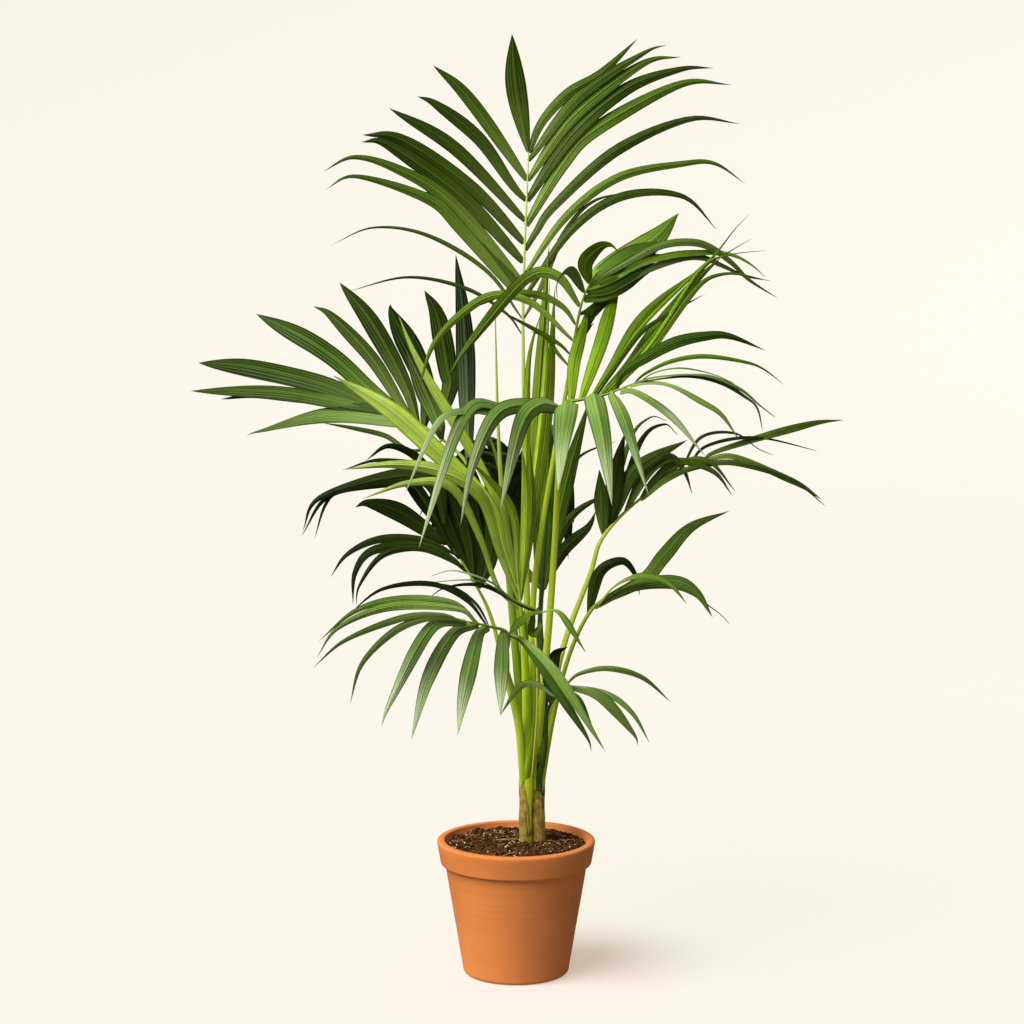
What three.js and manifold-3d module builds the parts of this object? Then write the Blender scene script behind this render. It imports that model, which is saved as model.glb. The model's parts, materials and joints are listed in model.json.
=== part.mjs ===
// Kentia palm in a terracotta pot. Millimetres, +Z up, origin at the centre of the pot's underside.
import * as THREE from "three";
import { mergeVertices } from "three/addons/utils/BufferGeometryUtils.js";
import Module from "manifold-3d";

const wasm = await Module();
wasm.setup();

// Clearance kept between two touching sub-parts.
const GAP = 0.3;

// Pot: a flared clay body under a wide collar.
const POT_HEIGHT = 198;
const RIM_RADIUS = 115;
const COLLAR_HEIGHT = 35;
const COLLAR_FOOT_RADIUS = 110;
const NECK_RADIUS = 103;
const BASE_RADIUS = 77.5;
const BASE_ROUND = 7;
const WALL = 10;
const FLOOR = 13;
const RIM_ROUND = 4;
const POT_SIDES = 30;
const DRAIN_COUNT = 3;
const DRAIN_RADIUS = 6;
const DRAIN_RING = 34;

// Soil: a low mound a finger's width below the rim.
const SOIL_EDGE_Z = 190;
const SOIL_CROWN_Z = 193;

// Stems: three short sheathed bases that carry all the stalks.
const STEM_TOP = 285;
const STEM_FOOT = 150;
const STEM_SIDES = 8;
const STEMS = {
  stem_front_left: { centre: [14, 0], radius: 8.5 },
  stem_right: { centre: [32, 6], radius: 10 },
  stem_back: { centre: [22, 24], radius: 10 },
};

// Stalks: thin where they leave the sheath, thickest above it, a wire at the tip.
const STALK_SIDES = 5;
const STALK_STEPS = 9;
const STALK_RADII = [2.6, 3.2, 3.2, 2.8, 2.2, 1.0];

// Leaflets: thin keeled blades on a narrow ridge on each side of the rib.
const LEAFLET_THICKNESS = 2;
const LEAFLET_STATIONS = [0.04, 0.33, 0.68];
const BENT_STATIONS = [0.04, 0.24, 0.44, 0.64, 0.84];
const LEAFLET_ROOT = -0.5;
const RIDGE_RADIUS = 1.6;
const RIDGE_END = 3;

// Extra room cut round a blade: between fronds, and between the two sides of one frond.
const FROND_CLEARANCE = 0.35;
const SIDE_CLEARANCE = 0.1;

// How much faster than its faces a thin blade's edges, keel and ends move out when it is grown.
const EDGE_GROWTH = 9;
const KEEL_GROWTH = 1.5;
const END_GROWTH = 3;

// Fronds. stalk: where the stalk passes, from its sheath to its tip. leafFrom: the share of the stalk
// that is bare. bends: whether it turns round a wide gap. face: where the upper side looks.
// rows: either leaflets in order along the rib, with the tips of some of them, their arch, their width
// and the share of the rib they stand on, or one leaflet, which leaves the stalk at a share of it and
// passes some points to its tip.
const LEFT = -1;
const RIGHT = 1;
const FRONDS = {
  crown: {
    stalk: [[22, 17, 282], [16, 23, 516], [13, 42, 747], [10, 61, 963], [18, 89, 1189]],
    leafFrom: 0.71,
    face: [0, -1, 0.25],
    rows: [
      { side: LEFT, at: 0.71, width: 6, course: [[-15, 52, 959], [-73, 43, 995], [-156, 32, 1011],
        [-244, 20, 990]], widest: 0.4 },
      { side: LEFT, at: 0.736, width: 7, course: [[-42, 50, 1020], [-126, 39, 1071], [-204, 30, 1082],
        [-265, 22, 1056]], widest: 0.4 },
      { side: LEFT, at: 0.765, width: 19, course: [[-78, 49, 1079], [-125, 43, 1122], [-227, 32, 1154],
        [-272, 27, 1135]], widest: 0.4 },
      { side: LEFT, at: 0.795, width: 21, course: [[-96, 51, 1119], [-169, 43, 1164], [-231, 37, 1181],
        [-276, 32, 1160]], widest: 0.4 },
      { side: LEFT, at: 0.78, width: 20, course: [[-94, 52, 1106], [-140, 48, 1135]], base: 0.5,
        widest: 0.6 },
      { side: LEFT, at: 0.827, width: 24, course: [[-79, 57, 1126], [-181, 46, 1198], [-221, 42, 1203]],
        base: 0.5, widest: 0.6 },
      { side: LEFT, at: 0.857, width: 22, course: [[-63, 63, 1138], [-163, 53, 1206], [-220, 48, 1213]],
        base: 0.5, widest: 0.6 },
      { side: LEFT, at: 0.892, width: 20, course: [[-86, 68, 1193], [-182, 62, 1251]], base: 0.5,
        widest: 0.6 },
      { side: LEFT, at: 0.924, width: 20, course: [[-6, 79, 1143], [-52, 75, 1207], [-114, 71, 1256],
        [-142, 70, 1268]], base: 0.5, widest: 0.6 },
      { side: LEFT, at: 0.956, width: 20, course: [[-69, 79, 1266], [-119, 76, 1312]], base: 0.5,
        widest: 0.6 },
      { side: LEFT, at: 1, width: 30, course: [[0, 67, 1281], [-6, 50, 1355]], base: 0.25,
        widest: 0.55 },
      { side: RIGHT, at: 1, width: 17, course: [[37, 98, 1232], [74, 109, 1273], [122, 120, 1302],
        [177, 135, 1353]], base: 0.5, widest: 0.5 },
      { side: RIGHT, at: 0.987, width: 17, course: [[91, 110, 1269], [184, 131, 1331],
        [219, 138, 1344]], base: 0.5, widest: 0.5 },
      { side: RIGHT, at: 0.956, width: 20, course: [[84, 106, 1241], [183, 131, 1316],
        [241, 142, 1327]], base: 0.5, widest: 0.5 },
      { side: RIGHT, at: 0.924, width: 22, course: [[80, 102, 1213], [160, 122, 1281], [239, 138, 1309],
        [289, 147, 1311]], base: 0.5, widest: 0.5 },
      { side: RIGHT, at: 0.885, width: 22, course: [[67, 95, 1170], [115, 109, 1221], [238, 135, 1287],
        [315, 150, 1287]], base: 0.5, widest: 0.5 },
      { side: RIGHT, at: 0.846, width: 17, course: [[29, 77, 1075], [56, 86, 1113], [144, 109, 1191],
        [251, 131, 1237], [329, 146, 1230]], base: 0.5, widest: 0.5 },
      { side: RIGHT, at: 0.806, width: 14, course: [[72, 86, 1097], [149, 104, 1154], [242, 121, 1173],
        [290, 130, 1173], [336, 140, 1143]], base: 0.5, widest: 0.5 },
      { side: RIGHT, at: 0.77, width: 14, course: [[80, 84, 1077], [154, 100, 1125], [242, 115, 1125],
        [295, 128, 1075]], base: 0.5, widest: 0.5 },
      { side: RIGHT, at: 0.736, width: 9, course: [[37, 70, 997], [69, 85, 1071], [112, 97, 1118],
        [180, 110, 1133]], widest: 0.35 },
    ],
  },
  arching: {
    stalk: [[27, 1, 282], [24, -10, 545], [54, -30, 762], [70, -42, 852], [89, -55, 968],
      [106, -60, 1013]],
    leafFrom: 0.62,
    face: [-0.2, -1, 0.4],
    rows: [
      { side: LEFT, at: 0.662, width: 6, course: [[59, -38, 906], [42, -28, 928], [19, -20, 937]] },
      { side: LEFT, at: 0.687, width: 7, course: [[53, -46, 925], [-27, -40, 969]] },
      { side: LEFT, at: 0.719, width: 13, course: [[21, -63, 979], [-33, -72, 989], [-81, -81, 960],
        [-117, -90, 918], [-136, -100, 858]], widest: 0.55 },
      { side: LEFT, at: 0.756, width: 11, course: [[66, -56, 972], [33, -60, 989], [-13, -65, 991],
        [-51, -70, 975]], widest: 0.55 },
      { side: LEFT, at: 0.813, width: 20, course: [[57, -70, 1016], [12, -83, 1012], [-63, -115, 926],
        [-94, -130, 881]], widest: 0.55 },
      { side: LEFT, at: 0.884, width: 16, course: [[75, -87, 1023], [57, -107, 1009], [56, -125, 987]],
        widest: 0.45 },
      { side: LEFT, at: 0.956, width: 24, course: [[96, -78, 1033], [113, -96, 1055], [129, -108, 1059],
        [143, -120, 1048]], widest: 0.45 },
      { side: RIGHT, at: 0.675, width: 9, course: [[83, -40, 909], [94, -34, 931], [110, -30, 950]],
        widest: 0.5 },
      { side: RIGHT, at: 0.7, width: 10, course: [[85, -42, 923], [101, -36, 948], [118, -32, 969]],
        widest: 0.5 },
      { side: RIGHT, at: 0.735, width: 13, course: [[97, -44, 951], [118, -40, 973], [146, -36, 993]],
        widest: 0.5 },
      { side: RIGHT, at: 0.79, width: 16, course: [[106, -50, 971], [140, -48, 996], [193, -46, 1027]],
        widest: 0.5 },
      { side: RIGHT, at: 0.85, width: 30, course: [[124, -53, 993], [162, -52, 1018], [204, -50, 1035]],
        widest: 0.55 },
      { side: RIGHT, at: 0.865, width: 11, course: [[131, -58, 996], [180, -58, 1024], [228, -58, 1041],
        [260, -58, 1042], [287, -56, 1031], [320, -54, 1016], [356, -52, 1009]], base: 0.6,
        widest: 0.5 },
      { side: RIGHT, at: 0.9, width: 36, course: [[125, -57, 1008], [167, -55, 1035], [206, -53, 1046]],
        widest: 0.55 },
      { side: RIGHT, at: 0.915, width: 11, course: [[131, -62, 1010], [172, -62, 1033],
        [214, -62, 1045], [256, -62, 1049], [295, -60, 1047], [323, -58, 1035], [350, -56, 1013]],
        base: 0.6, widest: 0.5 },
      { side: RIGHT, at: 0.95, width: 38, course: [[125, -60, 1022], [170, -56, 1049],
        [212, -52, 1064]], widest: 0.5 },
      { side: RIGHT, at: 0.962, width: 12, course: [[151, -66, 1033], [200, -66, 1058],
        [242, -66, 1063], [272, -64, 1055], [302, -62, 1033], [326, -60, 1010], [367, -58, 984]],
        base: 0.6, widest: 0.55 },
      { side: RIGHT, at: 0.985, width: 38, course: [[117, -56, 1024], [156, -48, 1045],
        [194, -40, 1068], [228, -30, 1103]], widest: 0.6 },
    ],
  },
  near: {
    stalk: [[27, 9, 283], [37, -8, 404], [48, -24, 531], [55, -42, 642], [59, -68, 745], [60, -88, 810],
      [66, -102, 839], [91, -125, 849], [120, -150, 857], [144, -172, 868], [167, -193, 879]],
    bends: true,
    leafFrom: 0.5,
    face: [0, -0.3, 1],
    rows: [
      { side: RIGHT, at: 0.558, width: 14, course: [[8, -122, 836], [-41, -144, 834], [-58, -151, 835],
        [-106, -170, 823], [-153, -200, 723]], base: 0.5, widest: 0.45, face: [0, -1, 1] },
      { side: RIGHT, at: 0.568, width: 20, course: [[-2, -126, 841], [-21, -134, 841], [-59, -150, 845],
        [-89, -173, 795], [-133, -215, 652]], base: 0.5, widest: 0.45, face: [0, -1, 1] },
      { side: RIGHT, at: 0.578, width: 24, course: [[31, -121, 841], [-23, -158, 834], [-58, -197, 768],
        [-76, -225, 684]], base: 0.75, widest: 0.35, face: [0, -1, 0.4] },
      { side: RIGHT, at: 0.59, width: 28, course: [[32, -130, 842], [6, -166, 813], [-22, -225, 705]],
        base: 0.75, widest: 0.35, face: [0, -1, 0.4] },
      { side: RIGHT, at: 0.621, width: 32, course: [[56, -215, 731]], base: 0.85, widest: 0.3 },
      { side: RIGHT, at: 0.744, width: 30, course: [[129, -225, 712]], base: 0.85, widest: 0.3 },
      { side: RIGHT, at: 0.847, width: 20, course: [[149, -207, 821], [178, -235, 728]], base: 0.85,
        widest: 0.3 },
      { side: RIGHT, at: 0.899, width: 20, course: [[166, -197, 865], [212, -242, 832],
        [253, -250, 782]], base: 0.85, widest: 0.3 },
      { side: RIGHT, at: 0.947, width: 17, course: [[180, -204, 879], [209, -220, 876],
        [245, -236, 857], [274, -250, 839], [296, -266, 806]], widest: 0.55 },
      { side: RIGHT, at: 0.977, width: 13, course: [[180, -199, 881], [233, -222, 889],
        [275, -235, 882], [306, -245, 863], [321, -256, 848], [327, -264, 818]], base: 0.35,
        widest: 0.6 },
      { side: RIGHT, at: 1, width: 13, course: [[186, -210, 886], [232, -226, 891], [266, -238, 888],
        [300, -248, 873], [324, -256, 852], [345, -262, 835]], base: 0.3, widest: 0.6 },
      { side: RIGHT, at: 1, width: 5, course: [[187, -206, 892], [221, -218, 899], [261, -232, 892],
        [292, -240, 879]], base: 0.5, widest: 0.5 },
      { side: LEFT, at: 0.64, width: 20, course: [[80, -92, 898], [90, -76, 935], [102, -30, 974]],
        base: 0.5, widest: 0.45, face: [-0.2, -1, 0.4] },
      { side: LEFT, at: 0.69, width: 22, course: [[116, -88, 921], [130, -60, 966], [148, -10, 1020]],
        base: 0.5, widest: 0.55, face: [-0.2, -1, 0.4] },
      { side: LEFT, at: 0.74, width: 18, course: [[131, -132, 893], [166, -124, 951], [200, -116, 986],
        [245, -108, 1020], [280, -104, 1050]], base: 0.5, widest: 0.4, face: [-0.2, -1, 0.4] },
      { side: LEFT, at: 0.755, width: 6, course: [[169, -136, 945], [238, -120, 1014],
        [274, -112, 1048], [301, -104, 1082], [323, -98, 1104]], base: 0.5, widest: 0.45,
        face: [-0.2, -1, 0.4] },
      { side: LEFT, at: 0.779, width: 19, course: [[153, -140, 896], [185, -132, 939], [214, -124, 974],
        [244, -118, 1010], [283, -112, 1045]], base: 0.5, widest: 0.6, face: [-0.2, -1, 0.4] },
      { side: LEFT, at: 0.79, width: 6, course: [[183, -142, 932], [252, -124, 1024], [287, -114, 1048],
        [326, -104, 1070]], base: 0.5, widest: 0.45, face: [-0.2, -1, 0.4] },
      { side: LEFT, at: 0.8, width: 5, course: [[183, -144, 926], [251, -128, 1027], [293, -118, 1047],
        [345, -110, 1053]], base: 0.5, widest: 0.45, face: [-0.2, -1, 0.4] },
      { side: LEFT, at: 0.76, width: 8, course: [[136, -146, 896], [169, -142, 940], [203, -138, 964],
        [260, -132, 995]], base: 0.5, widest: 0.45, face: [-0.2, -1, 0.4] },
      { side: LEFT, at: 0.83, width: 10, course: [[183, -146, 918], [224, -138, 975], [254, -132, 1010],
        [279, -128, 1021], [306, -126, 1021], [349, -124, 1011]], base: 0.5, widest: 0.45,
        face: [-0.2, -1, 0.4] },
      { side: LEFT, at: 0.86, width: 17, course: [[144, -166, 887], [175, -172, 909], [215, -176, 930],
        [255, -178, 939], [289, -178, 939], [339, -176, 919]], widest: 0.45, face: [-0.2, -1, 0.4] },
      { side: LEFT, at: 0.96, width: 7, course: [[174, -196, 890], [209, -204, 907], [253, -212, 914],
        [306, -222, 907], [332, -230, 897], [359, -238, 876]], base: 0.5, widest: 0.45,
        face: [-0.2, -1, 0.4] },
    ],
  },
  young: {
    stalk: [[18, -4, 282], [14, -15, 435], [8, -31, 525], [0, -47, 614]],
    leafFrom: 0.55,
    face: [0.2, -1, 0.3],
    rows: [
      { side: LEFT, at: 0.726, width: 15, course: [[-25, -52, 576], [-51, -82, 654], [-89, -113, 725],
        [-147, -137, 734], [-212, -165, 715]], widest: 0.6 },
      { side: LEFT, at: 0.781, width: 19, course: [[-22, -58, 624], [-49, -85, 708], [-102, -105, 745],
        [-166, -126, 758], [-240, -150, 754]], widest: 0.6 },
      { side: LEFT, at: 0.837, width: 24, course: [[-16, -49, 626], [-39, -61, 697], [-126, -83, 787],
        [-182, -95, 837], [-254, -110, 881]], widest: 0.6 },
      { side: LEFT, at: 0.864, width: 16, course: [[-33, -50, 709], [-132, -64, 887], [-166, -70, 965]],
        widest: 0.6, face: [-0.8, -1, 0.7] },
      { side: LEFT, at: 0.835, width: 13, course: [[2, -50, 601], [-7, -84, 692], [-67, -120, 767]],
        widest: 0.6 },
      { side: RIGHT, at: 0.776, width: 17, course: [[43, -16, 803], [55, 0, 1000]], widest: 0.6 },
      { side: RIGHT, at: 0.778, width: 21, course: [[26, -13, 746], [47, 25, 1060]], widest: 0.6 },
      { side: RIGHT, at: 0.833, width: 9, course: [[36, -23, 819], [48, -10, 1016]], widest: 0.6 },
      { side: RIGHT, at: 0.833, width: 13, course: [[13, -32, 720], [17, -24, 887], [35, -20, 964]],
        widest: 0.6 },
      { side: RIGHT, at: 0.778, width: 14, course: [[21, -48, 670], [19, -60, 786]], widest: 0.6 },
      { side: RIGHT, at: 0.781, width: 13, course: [[15, -63, 693], [8, -80, 777]], widest: 0.6 },
    ],
  },
  left_fan: {
    stalk: [[16, 4.5, 282], [11, 12, 489], [-23, 54, 621], [-67, 109, 726], [-113, 155, 769],
      [-153, 198, 791]],
    leafFrom: 0.6,
    face: [0.25, -1, 0.5],
    rows: [
      { side: LEFT, at: 1, width: 37, course: [[-220, 225, 813], [-298, 250, 843], [-407, 285, 866],
        [-489, 305, 870]], widest: 0.68 },
      { side: LEFT, at: 0.986, width: 26, course: [[-220, 217, 806], [-359, 255, 830],
        [-501, 300, 827]], widest: 0.6 },
      { side: LEFT, at: 0.972, width: 20, course: [[-207, 212, 806], [-374, 265, 826],
        [-454, 290, 815]], widest: 0.62 },
      { side: LEFT, at: 0.78, width: 8, course: [[-154, 145, 750], [-195, 170, 770], [-242, 195, 779],
        [-293, 220, 785]], widest: 0.55 },
      { side: LEFT, at: 0.93, width: 27, course: [[-280, 227, 797], [-391, 259, 769], [-411, 265, 761]],
        widest: 0.5 },
      { side: LEFT, at: 1, width: 34, course: [[-218, 240, 832], [-275, 262, 880], [-330, 280, 914],
        [-399, 308, 945]], widest: 0.66 },
      { side: RIGHT, at: 0.986, width: 24, course: [[-172, 208, 814], [-220, 240, 884],
        [-280, 273, 944], [-310, 285, 958]], widest: 0.62 },
      { side: RIGHT, at: 0.968, width: 31, course: [[-167, 211, 847], [-218, 242, 936],
        [-268, 265, 995]], widest: 0.62 },
      { side: RIGHT, at: 0.92, width: 36, course: [[-132, 192, 833], [-152, 206, 887], [-185, 221, 949],
        [-189, 225, 964]], widest: 0.62 },
      { side: RIGHT, at: 0.839, width: 31, course: [[-98, 166, 842], [-101, 166, 868], [-116, 169, 947],
        [-136, 170, 987]], widest: 0.62 },
      { side: RIGHT, at: 0.78, width: 30, course: [[-113, 140, 789], [-135, 165, 839],
        [-164, 190, 897]], widest: 0.5 },
      { side: RIGHT, at: 0.614, width: 30, course: [[-75, 111, 924], [-88, 110, 1042]], widest: 0.5 },
    ],
  },
  low_left: {
    stalk: [[9.5, 3, 282], [2, 10, 361], [-15, 10, 433], [-35, 17, 517], [-59, 27, 568],
      [-102, 44, 637]],
    leafFrom: 0.78,
    face: [0.2, -1, 0.5],
    rows: [
      { side: LEFT, at: 0.924, width: 13, course: [[-134, 25, 633], [-196, 11, 636], [-242, 0, 616],
        [-267, -10, 583]], widest: 0.5 },
      { side: LEFT, at: 0.856, width: 15, course: [[-95, 24, 608], [-134, 15, 626], [-204, 0, 622],
        [-231, -10, 591], [-234, -20, 544]], widest: 0.5 },
      { side: LEFT, at: 0.851, width: 11, course: [[-93, 23, 603], [-141, 10, 623], [-192, -3, 614],
        [-224, -17, 573], [-229, -25, 543]], widest: 0.5 },
      { side: LEFT, at: 0.979, width: 33, course: [[-108, 40, 634], [-169, 27, 674], [-212, 19, 688],
        [-232, 15, 682]], widest: 0.5 },
      { side: LEFT, at: 0.998, width: 14, course: [[-111, 43, 690], [-138, 42, 746], [-183, 41, 768],
        [-218, 40, 746]], widest: 0.5 },
      { side: LEFT, at: 0.998, width: 9, course: [[-112, 39, 725], [-191, 34, 748], [-251, 30, 734]],
        widest: 0.5 },
      { side: LEFT, at: 0.991, width: 24, course: [[-112, 39, 695], [-154, 35, 725], [-280, 25, 696],
        [-309, 20, 644]], base: 0.3, widest: 0.45 },
      { side: LEFT, at: 0.99, width: 9, course: [[-134, 38, 702], [-163, 36, 715], [-267, 29, 698],
        [-311, 24, 637]], base: 0.3, widest: 0.6 },
      { side: LEFT, at: 0.996, width: 8, course: [[-138, 40, 698], [-150, 39, 710], [-166, 38, 713],
        [-249, 33, 704], [-275, 31, 685], [-292, 28, 632]], base: 0.3, widest: 0.6 },
      { side: RIGHT, at: 0.78, width: 30, course: [[-47, 32, 624], [-70, 45, 754]], widest: 0.6 },
      { side: RIGHT, at: 0.81, width: 32, course: [[-68, 36, 642], [-103, 50, 754]], widest: 0.6 },
      { side: RIGHT, at: 0.856, width: 28, course: [[-79, 36, 617], [-121, 52, 715], [-132, 55, 734]],
        widest: 0.6 },
      { side: RIGHT, at: 0.909, width: 24, course: [[-121, 49, 671], [-164, 60, 713]], widest: 0.6 },
      { side: RIGHT, at: 0.78, width: 26, course: [[-36, 29, 606], [-34, 35, 685], [-39, 40, 745]],
        widest: 0.6 },
    ],
  },
  front_left: {
    stalk: [[9.5, -3.5, 282], [4, -26, 386], [-15, -66, 466], [-12, -100, 516], [-42, -134, 534],
      [-76, -174, 548]],
    leafFrom: 0.6,
    face: [0, -0.3, 1],
    rows: [
      { side: LEFT, at: 0.602, width: 15, course: [[14, -120, 508], [57, -165, 469], [121, -250, 380]],
        widest: 0.5, face: [0, -1, 0.4] },
      { side: LEFT, at: 0.602, width: 13, course: [[17, -125, 499], [91, -207, 402], [103, -225, 374]],
        base: 0.3, widest: 0.6, face: [0, -1, 0.4] },
      { side: LEFT, at: 0.668, width: 22, course: [[-22, -195, 419]], base: 0.6, widest: 0.45,
        face: [0, -1, 0.5] },
      { side: LEFT, at: 0.785, width: 24, course: [[-54, -143, 519], [-73, -191, 443],
        [-80, -220, 397]], base: 0.6, widest: 0.45, face: [0, -1, 0.5] },
      { side: LEFT, at: 0.867, width: 21, course: [[-87, -164, 528], [-121, -196, 471],
        [-143, -235, 394]], base: 0.6, widest: 0.45, face: [0, -1, 0.5] },
      { side: LEFT, at: 0.96, width: 20, course: [[-117, -187, 540], [-169, -233, 450],
        [-183, -250, 415]], base: 0.6, widest: 0.45, face: [0, -1, 0.5] },
      { side: LEFT, at: 0.994, width: 11, course: [[-116, -188, 554], [-164, -206, 540],
        [-209, -229, 498], [-225, -250, 446]], widest: 0.45, face: [0, -1, 0.6] },
      { side: LEFT, at: 0.994, width: 10, course: [[-104, -183, 558], [-157, -200, 556],
        [-232, -226, 530], [-276, -245, 494]], widest: 0.45, face: [0, -1, 0.6] },
      { side: RIGHT, at: 0.869, width: 13, course: [[-81, -158, 562], [-172, -185, 569],
        [-242, -209, 544], [-272, -225, 504]], widest: 0.45, face: [0, -1, 0.6] },
      { side: RIGHT, at: 0.855, width: 12, course: [[-89, -155, 570], [-163, -172, 577],
        [-221, -185, 563], [-271, -200, 523]], widest: 0.45, face: [0, -1, 0.6] },
      { side: RIGHT, at: 0.785, width: 8, course: [[-68, -135, 569], [-117, -139, 593],
        [-185, -145, 587], [-233, -150, 552]], widest: 0.5, face: [0, -1, 0.6] },
      { side: RIGHT, at: 0.769, width: 5, course: [[-55, -129, 563], [-87, -129, 587],
        [-123, -130, 594]], widest: 0.5, face: [0, -1, 0.6] },
    ],
  },
  small_front: {
    stalk: [[14, -5.5, 282], [24, -23, 349], [33, -47, 470], [35, -95, 548]],
    leafFrom: 0.92,
    face: [0, -0.3, 1],
    rows: [
      { side: LEFT, at: 0.989, width: 6, course: [[12, -95, 554], [-44, -99, 585], [-96, -103, 584],
        [-126, -105, 566]], widest: 0.5, face: [0, -1, 0.6] },
      { side: LEFT, at: 1, width: 8, course: [[-5, -101, 567], [-37, -107, 593], [-86, -115, 609],
        [-119, -120, 602]], widest: 0.5 },
      { side: LEFT, at: 0.996, width: 6, course: [[3, -97, 560], [-50, -103, 592], [-112, -109, 592],
        [-125, -110, 586]], widest: 0.5 },
      { side: LEFT, at: 1, width: 18, course: [[14, -108, 546], [-12, -130, 520]], widest: 0.6 },
      { side: LEFT, at: 1, width: 13, course: [[62, -109, 548], [97, -140, 497]], widest: 0.5 },
      { side: RIGHT, at: 0.92, width: 24, course: [[24, -82, 517], [24, -81, 538], [33, -80, 553]],
        widest: 0.5 },
    ],
  },
  low_right: {
    stalk: [[32, 0, 282], [42, -27, 337], [45, -61, 400], [69, -148, 454]],
    leafFrom: 0.76,
    face: [0, -0.3, 1],
    rows: [
      { side: RIGHT, at: 0.831, width: 10, course: [[26, -99, 446], [3, -97, 439], [-23, -95, 399]],
        widest: 0.5, face: [0, -1, 0.5] },
      { side: RIGHT, at: 0.762, width: 22, course: [[48, -41, 449], [58, -8, 474], [75, 10, 479]],
        widest: 0.6, face: [0, -1, 0.5] },
      { side: LEFT, at: 1, width: 9, course: [[87, -148, 469], [127, -149, 477], [175, -149, 464],
        [216, -150, 428]], widest: 0.5, face: [0, -1, 0.5] },
      { side: LEFT, at: 0.986, width: 9, course: [[124, -161, 444], [160, -175, 419], [184, -190, 379]],
        widest: 0.5, face: [0, -1, 0.5] },
      { side: LEFT, at: 0.978, width: 16, course: [[116, -164, 440], [160, -192, 395],
        [167, -200, 378]], widest: 0.5, face: [0, -1, 0.5] },
      { side: LEFT, at: 0.928, width: 7, course: [[87, -125, 431], [106, -120, 392]], widest: 0.5,
        face: [0, -1, 0.5] },
    ],
  },
  right: {
    stalk: [[36.5, 10, 282], [64, 38, 455], [108, 66, 576], [129, 82, 632], [192, 126, 687],
      [285, 193, 735]],
    leafFrom: 0.6,
    face: [-0.3, -1, 0.6],
    rows: [
      { side: LEFT, at: 0.6, width: 24, course: [[122, 95, 728]], widest: 0.5 },
      { side: LEFT, at: 0.626, width: 9, course: [[166, 126, 764], [198, 141, 800], [225, 150, 794]],
        widest: 0.5 },
      { side: LEFT, at: 0.632, width: 28, course: [[147, 101, 729], [160, 110, 781]], widest: 0.5 },
      { side: LEFT, at: 0.652, width: 11, course: [[182, 122, 764], [218, 133, 791], [240, 140, 774]],
        widest: 0.5 },
      { side: LEFT, at: 0.652, width: 26, course: [[147, 95, 671], [175, 106, 728], [253, 120, 769]],
        widest: 0.5 },
      { side: LEFT, at: 0.713, width: 20, course: [[193, 114, 723], [228, 120, 744], [250, 125, 722],
        [261, 130, 687]], widest: 0.5 },
      { side: LEFT, at: 0.779, width: 14, course: [[205, 122, 712], [240, 125, 738], [292, 127, 722],
        [321, 130, 684]], widest: 0.5 },
      { side: LEFT, at: 0.819, width: 12, course: [[238, 138, 730], [286, 143, 736], [327, 150, 688]],
        widest: 0.5 },
      { side: RIGHT, at: 0.777, width: 16, course: [[225, 120, 716], [277, 120, 732]], widest: 0.5 },
      { side: RIGHT, at: 0.867, width: 12, course: [[239, 148, 716], [317, 152, 733], [409, 157, 707],
        [464, 160, 664]], widest: 0.5 },
      { side: LEFT, at: 0.918, width: 7, course: [[276, 186, 766], [329, 206, 771], [366, 221, 746],
        [390, 230, 735]], widest: 0.45 },
      { side: LEFT, at: 0.942, width: 8, course: [[287, 195, 753], [367, 234, 762], [464, 280, 736]],
        widest: 0.45 },
      { side: LEFT, at: 0.994, width: 16, course: [[311, 207, 747], [445, 276, 779], [506, 305, 782]],
        widest: 0.6 },
      { side: RIGHT, at: 0.982, width: 15, course: [[330, 202, 736], [422, 230, 696], [467, 245, 665]],
        widest: 0.6 },
    ],
  },
  lower_right: {
    stalk: [[37.5, 3, 282], [52, -29, 379], [73, -57, 472], [99, -78, 537], [126, -99, 569],
      [171, -134, 603]],
    leafFrom: 0.6,
    face: [-0.4, -0.4, 1],
    rows: [
      { side: LEFT, at: 0.618, width: 18, course: [[116, -82, 600], [148, -83, 618], [167, -84, 599],
        [174, -85, 568]], widest: 0.3, face: [-0.2, -1, 0.3] },
      { side: LEFT, at: 0.73, width: 24, course: [[178, -99, 596], [205, -99, 627], [243, -100, 668],
        [298, -100, 691]], widest: 0.5, face: [-0.4, -1, 0.5] },
      { side: RIGHT, at: 0.7, width: 7, course: [[150, -100, 577], [226, -102, 582], [278, -108, 552],
        [299, -110, 532]], widest: 0.5 },
      { side: RIGHT, at: 0.69, width: 21, course: [[162, -114, 588], [219, -140, 598], [249, -157, 584],
        [270, -175, 552]], widest: 0.55, face: [-0.3, -1, 0.8] },
      { side: RIGHT, at: 0.729, width: 15, course: [[140, -117, 590], [172, -143, 607],
        [207, -170, 602], [233, -200, 575]], widest: 0.5 },
    ],
  },
  mid_back: {
    stalk: [[28.5, 24, 282], [44, 66, 390], [37, 114, 501], [45, 154, 570]],
    leafFrom: 0.86,
    face: [0, -1, 0.3],
    rows: [
      { side: RIGHT, at: 0.86, width: 24, course: [[74, 117, 706], [108, 100, 832]], widest: 0.55 },
      { side: RIGHT, at: 0.86, width: 7, course: [[60, 165, 660], [91, 184, 733], [155, 200, 761]],
        widest: 0.55 },
      { side: RIGHT, at: 0.932, width: 13, course: [[73, 153, 638], [111, 157, 672], [145, 160, 679]],
        widest: 0.55 },
      { side: RIGHT, at: 0.899, width: 19, course: [[72, 146, 602], [107, 148, 635], [119, 150, 660]],
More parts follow.
